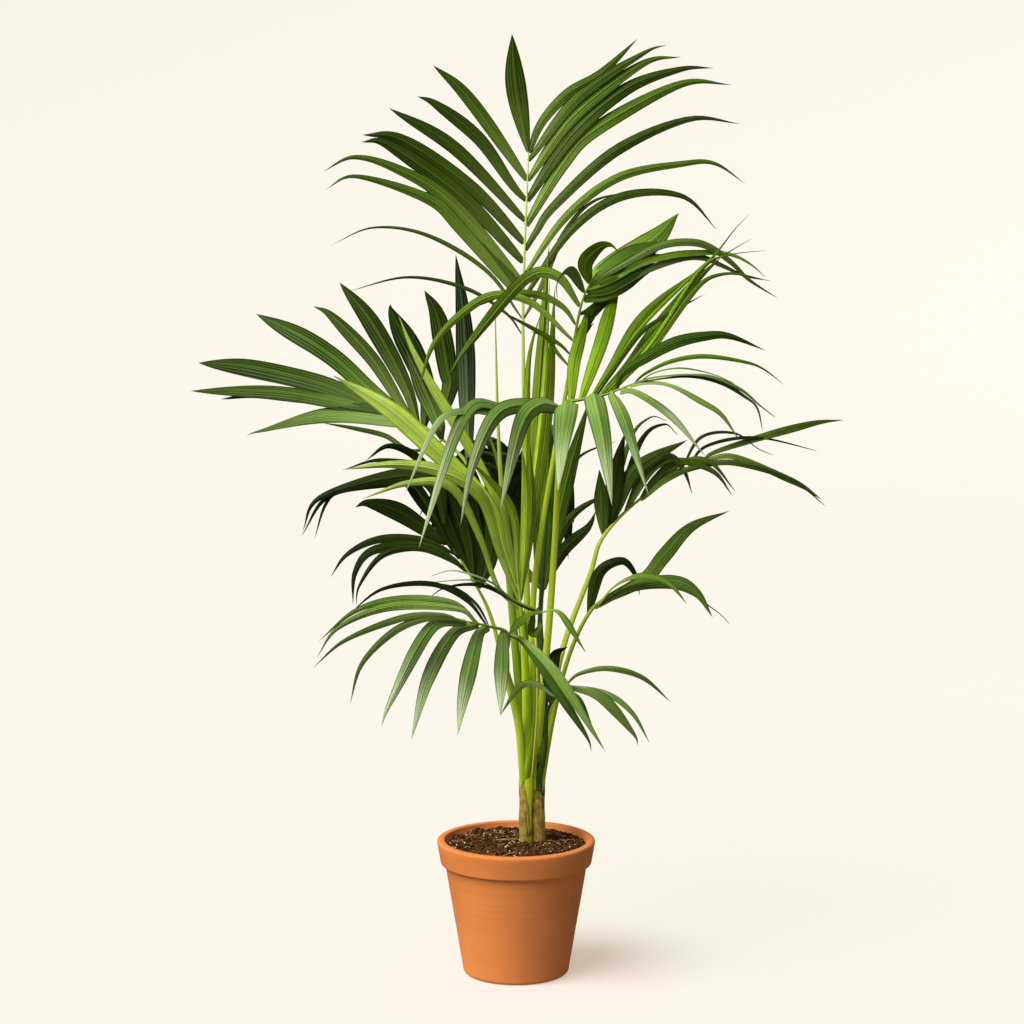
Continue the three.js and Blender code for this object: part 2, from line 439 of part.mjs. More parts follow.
        widest: 0.55 },
      { side: LEFT, at: 0.86, width: 16, course: [[41, 141, 599], [56, 150, 758]], widest: 0.5 },
      { side: LEFT, at: 0.86, width: 17, course: [[33, 146, 598], [46, 170, 756]], widest: 0.5 },
      { side: LEFT, at: 0.86, width: 20, course: [[-2, 161, 591], [-21, 190, 671]], widest: 0.5 },
      { side: LEFT, at: 0.86, width: 22, course: [[48, 103, 758], [39, 90, 833]], widest: 0.55 },
    ],
  },
  back_left: {
    stalk: [[18, 30, 282], [6, 70, 508], [-16, 140, 677], [-39, 240, 757], [-57, 420, 724]],
    bends: true,
    leafFrom: 0.6,
    face: [0, 0.3, 1],
    rows: [
      { side: LEFT, count: 5, span: [0, 1], arch: [0.3, 0.3, 0.3, 0.2], width: [24, 28, 28, 20],
        tips: [[-145, 240, 640], [-135, 330, 580], [-120, 430, 560], [-110, 540, 560]] },
      { side: RIGHT, count: 5, span: [0, 1], arch: [0.3, 0.3, 0.3, 0.2], width: [24, 28, 28, 20],
        tips: [[35, 240, 695], [20, 330, 590], [5, 430, 545], [-25, 540, 530]] },
    ],
  },
  back_right: {
    stalk: [[25, 30.5, 282], [35, 70, 508], [47, 120, 694], [54, 220, 774], [60, 380, 759]],
    bends: true,
    leafFrom: 0.6,
    face: [0, 0.3, 1],
    rows: [
      { side: LEFT, count: 5, span: [0, 1], arch: [0.3, 0.3, 0.3, 0.2], width: [24, 28, 28, 20],
        tips: [[-10, 200, 700], [-25, 280, 600], [5, 380, 555], [45, 480, 555]] },
      { side: RIGHT, count: 5, span: [0, 1], arch: [0.3, 0.3, 0.3, 0.2], width: [24, 28, 28, 20],
        tips: [[85, 200, 700], [88, 280, 610], [84, 380, 555], [66, 480, 555]] },
    ],
  },
  spear: {
    stalk: [[15.5, 23, 282], [-12, 20, 604], [-25, 20, 778], [-30, 10, 955]],
    leafFrom: 1,
    face: [0, -1, 0],
    rows: [],
  },
};

const UP = new THREE.Vector3(0, 0, 1);
const toVector = (p) => new THREE.Vector3(...p);

// Turns a closed geometry into a solid that can be joined and cut.
function toSolid(geometry) {
  geometry.deleteAttribute("normal");
  geometry.deleteAttribute("uv");
  const merged = mergeVertices(geometry, 1e-4);
  const mesh = new wasm.Mesh({
    numProp: 3,
    vertProperties: Float32Array.from(merged.attributes.position.array),
    triVerts: Uint32Array.from(merged.index.array),
  });
  return new wasm.Manifold(mesh);
}

function toGeometry(solid) {
  const mesh = solid.getMesh();
  const geometry = new THREE.BufferGeometry();
  geometry.setAttribute("position", new THREE.BufferAttribute(mesh.vertProperties, 3));
  geometry.setIndex(new THREE.BufferAttribute(mesh.triVerts, 1));
  geometry.computeVertexNormals();
  return geometry;
}

// Value at a share of the way through a short list.
function along(values, share) {
  const x = THREE.MathUtils.clamp(share, 0, 1) * (values.length - 1);
  const k = Math.min(Math.floor(x), Math.max(values.length - 2, 0));
  const next = values[Math.min(k + 1, values.length - 1)];
  return THREE.MathUtils.lerp(values[k], next, x - k);
}

function curveThrough(points) {
  return new THREE.CatmullRomCurve3(points.map(toVector), false, "catmullrom", 0.5);
}

// A closed skin over rings that stand one after another. The first and last rings are single points.
function skin(sides, rings) {
  const geometry = new THREE.SphereGeometry(1, sides, rings.length - 1);
  const position = geometry.attributes.position;
  const point = new THREE.Vector3();
  for (let k = 0; k < position.count; k += 1) {
    point.fromBufferAttribute(position, k);
    const polar = Math.acos(THREE.MathUtils.clamp(point.y, -1, 1));
    const ring = rings[Math.round((polar / Math.PI) * (rings.length - 1))];
    const reach = Math.max(Math.sin(polar), 1e-9);
    const placed = ring.centre.clone()
      .addScaledVector(ring.across, (ring.width * point.z) / reach)
      .addScaledVector(ring.through, (-ring.depth * point.x) / reach);
    position.setXYZ(k, placed.x, placed.y, placed.z);
  }
  return toSolid(geometry);
}

// A ring's frame at a share of a curve: across is carried on from the ring before.
function ringAt(curve, share, across, width, depth) {
  const tangent = curve.getTangent(share);
  const carried = across.clone().addScaledVector(tangent, -across.dot(tangent)).normalize();
  return {
    centre: curve.getPoint(share),
    across: carried,
    through: tangent.clone().cross(carried),
    width,
    depth,
  };
}

const pointAt = (ring, shift = 0) => ({
  ...ring,
  centre: ring.centre.clone().addScaledVector(ring.across.clone().cross(ring.through), shift),
  width: 0,
  depth: 0,
});

// A round limb along a stretch of a curve, with flat ends.
function limb(curve, [from, to], sides, steps, radiusAt) {
  const rings = [];
  let across = new THREE.Vector3(1, 0, 0);
  for (let k = 0; k <= steps; k += 1) {
    const share = THREE.MathUtils.lerp(from, to, k / steps);
    const radius = radiusAt(share);
    const ring = ringAt(curve, share, across, radius, radius);
    across = ring.across;
    rings.push(ring);
  }
  return skin(sides, [pointAt(rings[0]), ...rings, pointAt(rings[steps])]);
}

// Half the width of a leaflet as a share of its widest half.
function outline(share, base, widest) {
  if (share <= widest) {
    return base + (1 - base) * Math.sin((share / widest) * Math.PI / 2);
  }
  return 1 - ((share - widest) / (1 - widest)) ** 1.4;
}

// A ring of the ridge beside the rib, with a flat side turned outwards.
function ridgeRing(frond, curve, side, place, shift, grow) {
  const t = THREE.MathUtils.lerp(frond.leafFrom, 1, place);
  const tangent = curve.getTangent(t);
  const inwards = tangent.clone().cross(toVector(frond.face)).normalize().multiplyScalar(-side);
  const offset = along(STALK_RADII, t) + GAP + RIDGE_RADIUS;
  return {
    centre: curve.getPoint(t).addScaledVector(inwards, -offset).addScaledVector(tangent, shift),
    across: inwards.clone().cross(tangent),
    through: inwards,
    width: RIDGE_RADIUS + grow,
    depth: RIDGE_RADIUS + grow,
  };
}

// The way of a leaflet that arches from the rib over to its tip.
function arch(row, share, start) {
  const tip = row.tips.length > 1 ? curveThrough(row.tips).getPoint(share) : toVector(row.tips[0]);
  const chord = tip.clone().sub(start);
  const rise = chord.length() * along(row.arch, share);
  return new THREE.CubicBezierCurve3(
    start,
    start.clone().addScaledVector(chord, 0.3).addScaledVector(UP, rise),
    start.clone().addScaledVector(chord, 0.72).addScaledVector(UP, rise * (row.ease ?? 1)),
    tip,
  );
}

// One leaflet: a thin keeled blade along its path from its base to its tip.
function leaflet(row, face, share, start, grow) {
  const path = row.course ? curveThrough([start.toArray(), ...row.course]) : arch(row, share, start);
  let across = toVector(face).cross(path.getTangent(0)).normalize();
  const half = (row.course ? row.width : along(row.width, share)) / Math.sqrt(3);
  const rings = [pointAt(ringAt(path, 0, across, 0, 0), LEAFLET_ROOT - END_GROWTH * grow)];
  for (const t of row.course?.length > 2 ? BENT_STATIONS : LEAFLET_STATIONS) {
    const place = row.course ? path.getUtoTmapping(t) : t;
    const width = half * outline(t, row.base ?? 0.4, row.widest ?? 0.42) + EDGE_GROWTH * grow;
    const depth = (LEAFLET_THICKNESS / 1.5) * (1 - 0.5 * t) + KEEL_GROWTH * grow;
    const ring = ringAt(path, place, across, width, depth);
    across = ring.across;
    rings.push(ring);
  }
  rings.push(pointAt(ringAt(path, 1, across, 0, 0), END_GROWTH * grow));
  return skin(3, rings);
}

// All the leaflets of one side of a frond, joined by the ridge they grow from.
function blade(frond, side, grow) {
  const curve = curveThrough(frond.stalk);
  const leaflets = [];
  const places = [];
  for (const row of frond.rows.filter((r) => r.side === side)) {
    const count = row.count ?? 1;
    for (let k = 0; k < count; k += 1) {
      const share = count > 1 ? k / (count - 1) : 0;
      const place = row.course
        ? (row.at - frond.leafFrom) / (1 - frond.leafFrom)
        : THREE.MathUtils.lerp(row.span[0], row.span[1], share);
      const base = ridgeRing(frond, curve, side, place, 0, 0).centre;
      places.push(place);
      leaflets.push(leaflet(row, row.face ?? frond.face, share, base, grow));
    }
  }
  places.sort((a, b) => a - b);
  const steps = places.slice(1).filter((place, k) => place - places[k] > 0.01);
  const rings = steps.map((place) => {
    const before = Math.max(...places.filter((other) => other < place - 0.01));
    return ridgeRing(frond, curve, side, (place + before) / 2, 0, grow);
  });
  rings.unshift(ridgeRing(frond, curve, side, places[0], -RIDGE_END - grow, grow));
  rings.push(ridgeRing(frond, curve, side, places[places.length - 1], RIDGE_END + grow, grow));
  const ridge = skin(3, [pointAt(rings[0]), ...rings, pointAt(rings[rings.length - 1])]);
  return wasm.Manifold.union([ridge, ...leaflets]);
}

// A stretch of a frond's stalk, cut level where it meets the top of its stem.
function stalk(frond, stretch, grow) {
  const curve = curveThrough(frond.stalk);
  const steps = Math.ceil(STALK_STEPS * (stretch[1] - stretch[0]));
  const whole = limb(curve, stretch, STALK_SIDES, steps, (share) => along(STALK_RADII, share) + grow);
  return whole.trimByPlane([0, 0, 1], STEM_TOP - grow);
}

// A stalk is one limb from stem to tip, or two where it bends round a wide gap.
function stretches(frond) {
  if (!frond.bends) {
    return { stalk: [0, 1] };
  }
  const gap = GAP / curveThrough(frond.stalk).getLength();
  return { stalk: [0, frond.leafFrom], rib: [frond.leafFrom + gap, 1] };
}

function largest(solid) {
  const bodies = solid.decompose();
  bodies.sort((a, b) => b.volume() - a.volume());
  return bodies[0];
}

function boxesMeet(a, b) {
  const p = a.boundingBox();
  const q = b.boundingBox();
  return [0, 1, 2].every((k) => p.min[k] < q.max[k] && q.min[k] < p.max[k]);
}

// Cuts a solid clear of the ones placed before it.
function clearOf(solid, obstacles) {
  const met = obstacles.filter((obstacle) => boxesMeet(solid, obstacle));
  return largest(met.reduce((rest, obstacle) => rest.subtract(obstacle), solid));
}

function turned(profile, sides) {
  const geometry = new THREE.LatheGeometry(profile.map(([r, z]) => new THREE.Vector2(r, z)), sides);
  geometry.rotateX(Math.PI / 2);
  return toSolid(geometry);
}

// Points of a rounded corner, from one angle to another in degrees.
function corner(r, z, radius, from, to, steps) {
  return Array.from({ length: steps + 1 }, (_, k) => {
    const angle = THREE.MathUtils.degToRad(THREE.MathUtils.lerp(from, to, k / steps));
    return [r + radius * Math.cos(angle), z + radius * Math.sin(angle)];
  });
}

function makePot() {
  const collarFoot = POT_HEIGHT - COLLAR_HEIGHT;
  const profile = [
    [0, 0],
    ...corner(BASE_RADIUS - BASE_ROUND, BASE_ROUND, BASE_ROUND, -90, 0, 3),
    [NECK_RADIUS, collarFoot - 1.5],
    [COLLAR_FOOT_RADIUS, collarFoot],
    ...corner(RIM_RADIUS - RIM_ROUND, POT_HEIGHT - RIM_ROUND, RIM_ROUND, 0, 90, 3),
    ...corner(RIM_RADIUS - WALL - 1 + RIM_ROUND / 2, POT_HEIGHT - RIM_ROUND / 2, RIM_ROUND / 2, 90, 180, 2),
    [NECK_RADIUS - WALL, collarFoot],
    [BASE_RADIUS - WALL, FLOOR],
    [0, FLOOR],
  ];
  let pot = turned(profile, POT_SIDES);
  for (let k = 0; k < DRAIN_COUNT; k += 1) {
    const hole = new THREE.CylinderGeometry(DRAIN_RADIUS, DRAIN_RADIUS, 4 * FLOOR, 16);
    const angle = (2 * Math.PI * k) / DRAIN_COUNT;
    hole.rotateX(Math.PI / 2);
    hole.translate(DRAIN_RING * Math.cos(angle), DRAIN_RING * Math.sin(angle), 0);
    pot = pot.subtract(toSolid(hole));
  }
  return pot;
}

function makeSoil(stems) {
  const collarFoot = POT_HEIGHT - COLLAR_HEIGHT;
  const topWall = RIM_RADIUS - WALL - 1;
  const neckWall = NECK_RADIUS - WALL;
  const edge = THREE.MathUtils.mapLinear(SOIL_EDGE_Z, collarFoot, POT_HEIGHT, neckWall, topWall);
  const profile = [
    [0, FLOOR + GAP],
    [BASE_RADIUS - WALL - GAP, FLOOR + GAP],
    [neckWall - GAP - 0.1, collarFoot],
    [edge - 2 * GAP, SOIL_EDGE_Z],
    [edge * 0.7, SOIL_EDGE_Z + 1.5],
    [edge * 0.45, SOIL_CROWN_Z - 1],
    [0, SOIL_CROWN_Z],
  ];
  return stems.reduce((soil, stem) => soil.subtract(stem), turned(profile, POT_SIDES));
}

// A sheathed stem: swollen at the soil, even above it.
function stem({ centre, radius }, grow) {
  const curve = new THREE.LineCurve3(
    new THREE.Vector3(...centre, STEM_FOOT - grow),
    new THREE.Vector3(...centre, STEM_TOP - GAP + grow),
  );
  const swell = [0.8, 0.98, 1, 0.96, 1, 1];
  return limb(curve, [0, 1], STEM_SIDES, 6, (share) => radius * along(swell, share) + grow);
}

const GREEN = { dark: 0x2c5a1e, mid: 0x4f8430, bright: 0x86b52f };
const COLOURS = {
  young: GREEN.bright, near: GREEN.mid, arching: GREEN.mid, front_left: GREEN.mid,
  small_front: GREEN.mid, low_right: GREEN.mid,
};

const group = new THREE.Group();

function add(name, solid, color) {
  const material = new THREE.MeshStandardMaterial({ color, roughness: 0.6 });
  const mesh = new THREE.Mesh(toGeometry(solid), material);
  mesh.name = name;
  group.add(mesh);
}

const stemEntries = Object.entries(STEMS);
add("pot", makePot(), 0xb9683a);
add("soil", makeSoil(stemEntries.map(([, sizes]) => stem(sizes, FROND_CLEARANCE))), 0x3b2818);
stemEntries.forEach(([name, sizes]) => add(name, stem(sizes, 0), 0x7c8a3a));

const frondEntries = Object.entries(FRONDS);
const obstacles = [];
for (const [name, frond] of frondEntries) {
  const pieces = Object.entries(stretches(frond));
  for (const [piece, stretch] of pieces) {
    add(`${name}_${piece}`, clearOf(stalk(frond, stretch, 0), obstacles), GREEN.bright);
  }
  obstacles.push(...pieces.map(([, stretch]) => stalk(frond, stretch, FROND_CLEARANCE)));
}
for (const [name, frond] of frondEntries) {
  const sides = [LEFT, RIGHT].filter((side) => frond.rows.some((row) => row.side === side));
  sides.forEach((side, k) => {
    const otherSide = sides.slice(0, k).map((other) => blade(frond, other, SIDE_CLEARANCE));
    const solid = clearOf(blade(frond, side, 0), [...obstacles, ...otherSide]);
    add(`${name}_${side === LEFT ? "left" : "right"}`, solid, COLOURS[name] ?? GREEN.dark);
  });
  obstacles.push(...sides.map((side) => blade(frond, side, FROND_CLEARANCE)));
}

export default group;
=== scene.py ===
"""Kentia palm in a terracotta pot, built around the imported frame.

The plant and its pot are in millimetres, which turn into metres where a mesh is made. Materials and
lights are in metres. X points right, Y away from the camera and Z up, and the origin is the centre of
the pot's underside.
"""

import json
import math

import bmesh
import bpy
import numpy as np
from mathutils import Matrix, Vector, noise

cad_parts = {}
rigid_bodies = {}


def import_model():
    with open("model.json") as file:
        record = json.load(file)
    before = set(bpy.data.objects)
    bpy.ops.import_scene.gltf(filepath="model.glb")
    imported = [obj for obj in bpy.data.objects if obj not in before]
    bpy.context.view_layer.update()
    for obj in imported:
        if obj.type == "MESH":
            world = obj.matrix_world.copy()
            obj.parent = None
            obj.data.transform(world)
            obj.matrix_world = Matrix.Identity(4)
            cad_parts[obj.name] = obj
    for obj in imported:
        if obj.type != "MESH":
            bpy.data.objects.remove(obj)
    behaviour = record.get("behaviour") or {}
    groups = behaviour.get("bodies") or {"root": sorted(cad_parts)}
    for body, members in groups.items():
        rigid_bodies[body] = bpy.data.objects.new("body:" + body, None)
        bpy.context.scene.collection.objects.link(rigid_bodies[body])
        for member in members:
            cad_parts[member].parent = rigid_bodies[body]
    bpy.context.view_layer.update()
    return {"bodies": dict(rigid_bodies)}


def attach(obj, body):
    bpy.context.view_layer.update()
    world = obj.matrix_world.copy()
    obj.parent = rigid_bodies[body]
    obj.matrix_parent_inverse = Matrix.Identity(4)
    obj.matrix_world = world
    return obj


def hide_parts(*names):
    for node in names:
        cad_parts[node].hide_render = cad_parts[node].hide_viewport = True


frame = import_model()
BODY = next(iter(frame["bodies"]))
MM = 0.001
UP = np.array((0.0, 0.0, 1.0))

# Pot and soil, as in the CAD model.
POT_HEIGHT = 198
RIM_RADIUS = 115
COLLAR_HEIGHT = 35
COLLAR_FOOT_RADIUS = 110
NECK_RADIUS = 103
BASE_RADIUS = 77.5
BASE_ROUND = 7
WALL = 10
FLOOR = 13
RIM_ROUND = 4
DRAIN_COUNT, DRAIN_RADIUS, DRAIN_RING = 3, 6, 34
SOIL_EDGE_Z, SOIL_CROWN_Z = 190, 193

STEMS = {
    "stem_front_left": dict(centre=(14, 0), radius=8.5),
    "stem_right": dict(centre=(32, 6), radius=10),
    "stem_back": dict(centre=(22, 24), radius=10),
}

LEFT, RIGHT = -1, 1
FORM = dict(base=0.4, widest=0.42, sharp=1.4, face=None, palette=None)


def straps(side, leaflets, **form):
    """Leaflets that follow courses of their own, given by place along the stalk, width and points passed."""
    return [dict(FORM, side=side, count=1, at=at, width=[width], course=course, wild=0.1, **form)
            for at, width, *course in leaflets]


def spray(side, tips):
    """A row of leaflets that a seeded rule springs from the rib. Tips runs from its foot to its end."""
    return [dict(FORM, side=side, count=8, arch=[0.3, 0.3, 0.3, 0.2], width=[24, 28, 28, 20], tips=tips,
                 course=None, wild=0.35)]


# stalk: where the stalk passes, from its sheath to its tip. leaf_from: the share of it that is bare.
# stout: how much thicker it is low down. face: where the upper side of its leaflets looks. fold: how
# sharply they fold along the midrib. split: whether the CAD model has the rib as a node of its own.
# Of a leaflet's form, base is its width at the foot, widest the share of it where it is broadest, and
# sharp how abruptly it ends.
# Scratch scripts wrote most of these points. They turned pixels picked by eye in the photo, and depths
# guessed for them, into millimetres. Widths, forms and palettes were typed, and so were some later
# changes. The two back fronds are made up.
FRONDS = {
    "crown": dict(
        stalk=[(22, 17, 282), (16, 23, 516), (13, 42, 747), (10, 61, 963), (18, 89, 1189)],
        stout=1.35, leaf_from=0.71, face=(0, -1, 0.25), fold=0.2, palette="dark",
        rows=straps(LEFT, [
            (0.71, 6, (-15, 52, 959), (-73, 43, 995), (-156, 32, 1011), (-244, 20, 990)),
            (0.736, 7, (-42, 50, 1020), (-126, 39, 1071), (-204, 30, 1082), (-265, 22, 1056)),
            (0.765, 19, (-78, 49, 1079), (-125, 43, 1122), (-227, 32, 1154), (-272, 27, 1135)),
            (0.795, 21, (-96, 51, 1119), (-169, 43, 1164), (-231, 37, 1181), (-276, 32, 1160)),
        ], widest=0.4) + straps(LEFT, [
            (0.78, 20, (-94, 52, 1106), (-140, 48, 1135)),
            (0.827, 24, (-79, 57, 1126), (-181, 46, 1198), (-221, 42, 1203)),
            (0.857, 22, (-63, 63, 1138), (-163, 53, 1206), (-220, 48, 1213)),
            (0.892, 20, (-86, 68, 1193), (-182, 62, 1251)),
            (0.924, 20, (-6, 79, 1143), (-52, 75, 1207), (-114, 71, 1256), (-142, 70, 1268)),
            (0.956, 20, (-69, 79, 1266), (-119, 76, 1312)),
        ], widest=0.6, sharp=2.2, base=0.5) + straps(LEFT, [
            (1, 30, (0, 67, 1281), (-6, 50, 1355)),
        ], widest=0.55, sharp=1.8, base=0.25) + straps(RIGHT, [
            (1, 17, (37, 98, 1232), (74, 109, 1273), (122, 120, 1302), (177, 135, 1353)),
            (0.987, 17, (91, 110, 1269), (184, 131, 1331), (219, 138, 1344)),
            (0.956, 20, (84, 106, 1241), (183, 131, 1316), (241, 142, 1327)),
            (0.924, 22, (80, 102, 1213), (160, 122, 1281), (239, 138, 1309), (289, 147, 1311)),
            (0.885, 22, (67, 95, 1170), (115, 109, 1221), (238, 135, 1287), (315, 150, 1287)),
            (0.846, 17, (29, 77, 1075), (56, 86, 1113), (144, 109, 1191), (251, 131, 1237),
                (329, 146, 1230)),
            (0.806, 14, (72, 86, 1097), (149, 104, 1154), (242, 121, 1173), (290, 130, 1173),
                (336, 140, 1143)),
            (0.77, 14, (80, 84, 1077), (154, 100, 1125), (242, 115, 1125), (295, 128, 1075)),
        ], widest=0.5, sharp=1.6, base=0.5) + straps(RIGHT, [
            (0.736, 9, (37, 70, 997), (69, 85, 1071), (112, 97, 1118), (180, 110, 1133)),
        ], widest=0.35),
    ),
    "arching": dict(
        stalk=[(27, 1, 282), (24, -10, 545), (54, -30, 762), (70, -42, 852), (89, -55, 968),
               (106, -60, 1013)],
        stout=1.15, leaf_from=0.62, face=(-0.2, -1, 0.4), palette="mid",
        rows=straps(LEFT, [
            (0.662, 6, (59, -38, 906), (42, -28, 928), (19, -20, 937)),
            (0.687, 7, (53, -46, 925), (-27, -40, 969)),
        ], palette="gloss") + straps(LEFT, [
            (0.719, 13, (21, -63, 979), (-33, -72, 989), (-81, -81, 960), (-117, -90, 918),
                (-136, -100, 858)),
            (0.756, 11, (66, -56, 972), (33, -60, 989), (-13, -65, 991), (-51, -70, 975)),
            (0.813, 20, (57, -70, 1016), (12, -83, 1012), (-63, -115, 926), (-94, -130, 881)),
        ], widest=0.55) + straps(LEFT, [
            (0.884, 16, (75, -87, 1023), (57, -107, 1009), (56, -125, 987)),
        ], widest=0.45, palette="sheen") + straps(LEFT, [
            (0.956, 24, (96, -78, 1033), (113, -96, 1055), (129, -108, 1059), (143, -120, 1048)),
        ], widest=0.45, palette="fresh") + straps(RIGHT, [
            (0.675, 9, (83, -40, 909), (94, -34, 931), (110, -30, 950)),
            (0.7, 10, (85, -42, 923), (101, -36, 948), (118, -32, 969)),
            (0.735, 13, (97, -44, 951), (118, -40, 973), (146, -36, 993)),
            (0.79, 16, (106, -50, 971), (140, -48, 996), (193, -46, 1027)),
        ], widest=0.5, palette="gloss") + straps(RIGHT, [
            (0.85, 30, (124, -53, 993), (162, -52, 1018), (204, -50, 1035)),
        ], widest=0.55, palette="gloss") + straps(RIGHT, [
            (0.865, 11, (131, -58, 996), (180, -58, 1024), (228, -58, 1041), (260, -58, 1042),
                (287, -56, 1031), (320, -54, 1016), (356, -52, 1009)),
        ], widest=0.5, base=0.6, palette="soft") + straps(RIGHT, [
            (0.9, 36, (125, -57, 1008), (167, -55, 1035), (206, -53, 1046)),
        ], widest=0.55, palette="gloss") + straps(RIGHT, [
            (0.915, 11, (131, -62, 1010), (172, -62, 1033), (214, -62, 1045), (256, -62, 1049),
                (295, -60, 1047), (323, -58, 1035), (350, -56, 1013)),
        ], widest=0.5, base=0.6, palette="mid") + straps(RIGHT, [
            (0.95, 38, (125, -60, 1022), (170, -56, 1049), (212, -52, 1064)),
        ], widest=0.5, palette="gloss") + straps(RIGHT, [
            (0.962, 12, (151, -66, 1033), (200, -66, 1058), (242, -66, 1063), (272, -64, 1055),
                (302, -62, 1033), (326, -60, 1010), (367, -58, 984)),
        ], widest=0.55, base=0.6, palette="soft") + straps(RIGHT, [
            (0.985, 38, (117, -56, 1024), (156, -48, 1045), (194, -40, 1068), (228, -30, 1103)),
        ], widest=0.6, palette="mid"),
    ),
    "near": dict(
        stalk=[(27, 9, 283), (37, -8, 404), (48, -24, 531), (55, -42, 642), (59, -68, 745), (60, -88, 810),
               (66, -102, 839), (91, -125, 849), (120, -150, 857), (144, -172, 868), (167, -193, 879)],
        stout=1.3, leaf_from=0.5, face=(0, -0.3, 1), fold=0.28, palette="mid", split=True,
        rows=straps(RIGHT, [
            (0.558, 14, (8, -122, 836), (-41, -144, 834), (-58, -151, 835), (-106, -170, 823),
                (-153, -200, 723)),
            (0.568, 20, (-2, -126, 841), (-21, -134, 841), (-59, -150, 845), (-89, -173, 795),
                (-133, -215, 652)),
        ], widest=0.45, base=0.5, face=(0, -1, 1), palette="sheen") + straps(RIGHT, [
            (0.578, 24, (31, -121, 841), (-23, -158, 834), (-58, -197, 768), (-76, -225, 684)),
            (0.59, 28, (32, -130, 842), (6, -166, 813), (-22, -225, 705)),
        ], widest=0.35, base=0.75, face=(0, -1, 0.4), palette="sheen") + straps(RIGHT, [
            (0.621, 35, (70, -117, 848), (67, -140, 836), (62, -175, 796), (56, -215, 731)),
            (0.744, 33, (105, -147, 860), (109, -166, 846), (118, -194, 800), (129, -225, 712)),
        ], widest=0.2, base=1, palette="sheen") + straps(RIGHT, [
            (0.847, 20, (149, -207, 821), (178, -235, 728)),
            (0.899, 20, (166, -197, 865), (212, -242, 832), (253, -250, 782)),
        ], widest=0.3, base=0.85, palette="sheen") + straps(RIGHT, [
            (0.947, 17, (180, -204, 879), (209, -220, 876), (245, -236, 857), (274, -250, 839),
                (296, -266, 806)),
        ], widest=0.55, palette="soft") + straps(RIGHT, [
            (0.977, 13, (180, -199, 881), (233, -222, 889), (275, -235, 882), (306, -245, 863),
                (321, -256, 848), (327, -264, 818)),
        ], widest=0.6, base=0.35, palette="soft") + straps(RIGHT, [
            (1, 13, (186, -210, 886), (232, -226, 891), (266, -238, 888), (300, -248, 873), (324, -256, 852),
                (345, -262, 835)),
        ], widest=0.6, base=0.3, palette="soft") + straps(RIGHT, [
            (1, 5, (187, -206, 892), (221, -218, 899), (261, -232, 892), (292, -240, 879)),
        ], widest=0.5, base=0.5, palette="gloss") + straps(LEFT, [
            (0.64, 20, (80, -92, 898), (90, -76, 935), (102, -30, 974)),
        ], widest=0.45, base=0.5, face=(-0.2, -1, 0.4), palette="fresh") + straps(LEFT, [
            (0.69, 22, (116, -88, 921), (130, -60, 966), (148, -10, 1020)),
        ], widest=0.55, base=0.5, face=(-0.2, -1, 0.4), palette="fresh") + straps(LEFT, [
            (0.74, 18, (131, -132, 893), (166, -124, 951), (200, -116, 986), (245, -108, 1020),
                (280, -104, 1050)),
        ], widest=0.4, base=0.5, face=(-0.2, -1, 0.4), palette="fresh") + straps(LEFT, [
            (0.755, 6, (169, -136, 945), (238, -120, 1014), (274, -112, 1048), (301, -104, 1082),
                (323, -98, 1104)),
        ], widest=0.45, base=0.5, face=(-0.2, -1, 0.4), palette="fresh") + straps(LEFT, [
            (0.779, 19, (153, -140, 896), (185, -132, 939), (214, -124, 974), (244, -118, 1010),
                (283, -112, 1045)),
        ], widest=0.6, base=0.5, face=(-0.2, -1, 0.4), palette="fresh") + straps(LEFT, [
            (0.79, 6, (183, -142, 932), (252, -124, 1024), (287, -114, 1048), (326, -104, 1070)),
            (0.8, 5, (183, -144, 926), (251, -128, 1027), (293, -118, 1047), (345, -110, 1053)),
        ], widest=0.45, base=0.5, face=(-0.2, -1, 0.4), palette="fresh") + straps(LEFT, [
            (0.76, 8, (136, -146, 896), (169, -142, 940), (203, -138, 964), (260, -132, 995)),
        ], widest=0.45, base=0.5, face=(-0.2, -1, 0.4), palette="gloss") + straps(LEFT, [
            (0.83, 10, (183, -146, 918), (224, -138, 975), (254, -132, 1010), (279, -128, 1021),
                (306, -126, 1021), (349, -124, 1011)),
        ], widest=0.45, base=0.5, face=(-0.2, -1, 0.4), palette="fresh") + straps(LEFT, [
            (0.86, 17, (144, -166, 887), (175, -172, 909), (215, -176, 930), (255, -178, 939),
                (289, -178, 939), (339, -176, 919)),
        ], widest=0.45, face=(-0.2, -1, 0.4), palette="gloss") + straps(LEFT, [
            (0.96, 7, (174, -196, 890), (209, -204, 907), (253, -212, 914), (306, -222, 907),
                (332, -230, 897), (359, -238, 876)),
        ], widest=0.45, base=0.5, face=(-0.2, -1, 0.4), palette="gloss"),
    ),
    "young": dict(
        stalk=[(18, -4, 282), (14, -15, 435), (8, -31, 525), (0, -47, 614)],
        stout=1.75, leaf_from=0.55, face=(0.2, -1, 0.3), fold=0.45, palette="bright",
        rows=straps(LEFT, [
            (0.726, 15, (-25, -52, 576), (-51, -82, 654), (-89, -113, 725), (-147, -137, 734),
                (-212, -165, 715)),
        ], widest=0.6, palette="lit") + straps(LEFT, [
            (0.781, 19, (-22, -58, 624), (-49, -85, 708), (-102, -105, 745), (-166, -126, 758),
                (-240, -150, 754)),
        ], widest=0.66, palette="lit") + straps(LEFT, [
            (0.837, 29, (-16, -49, 626), (-39, -61, 697), (-126, -83, 787), (-182, -95, 837),
                (-254, -110, 881)),
        ], widest=0.72, palette="lit") + straps(LEFT, [
            (0.864, 18, (-33, -50, 709), (-132, -64, 887), (-166, -70, 965)),
        ], widest=0.6, face=(-0.4, -1, 0.7), palette="lit") + straps(LEFT, [
            (0.835, 13, (2, -50, 601), (-7, -84, 692), (-67, -120, 767)),
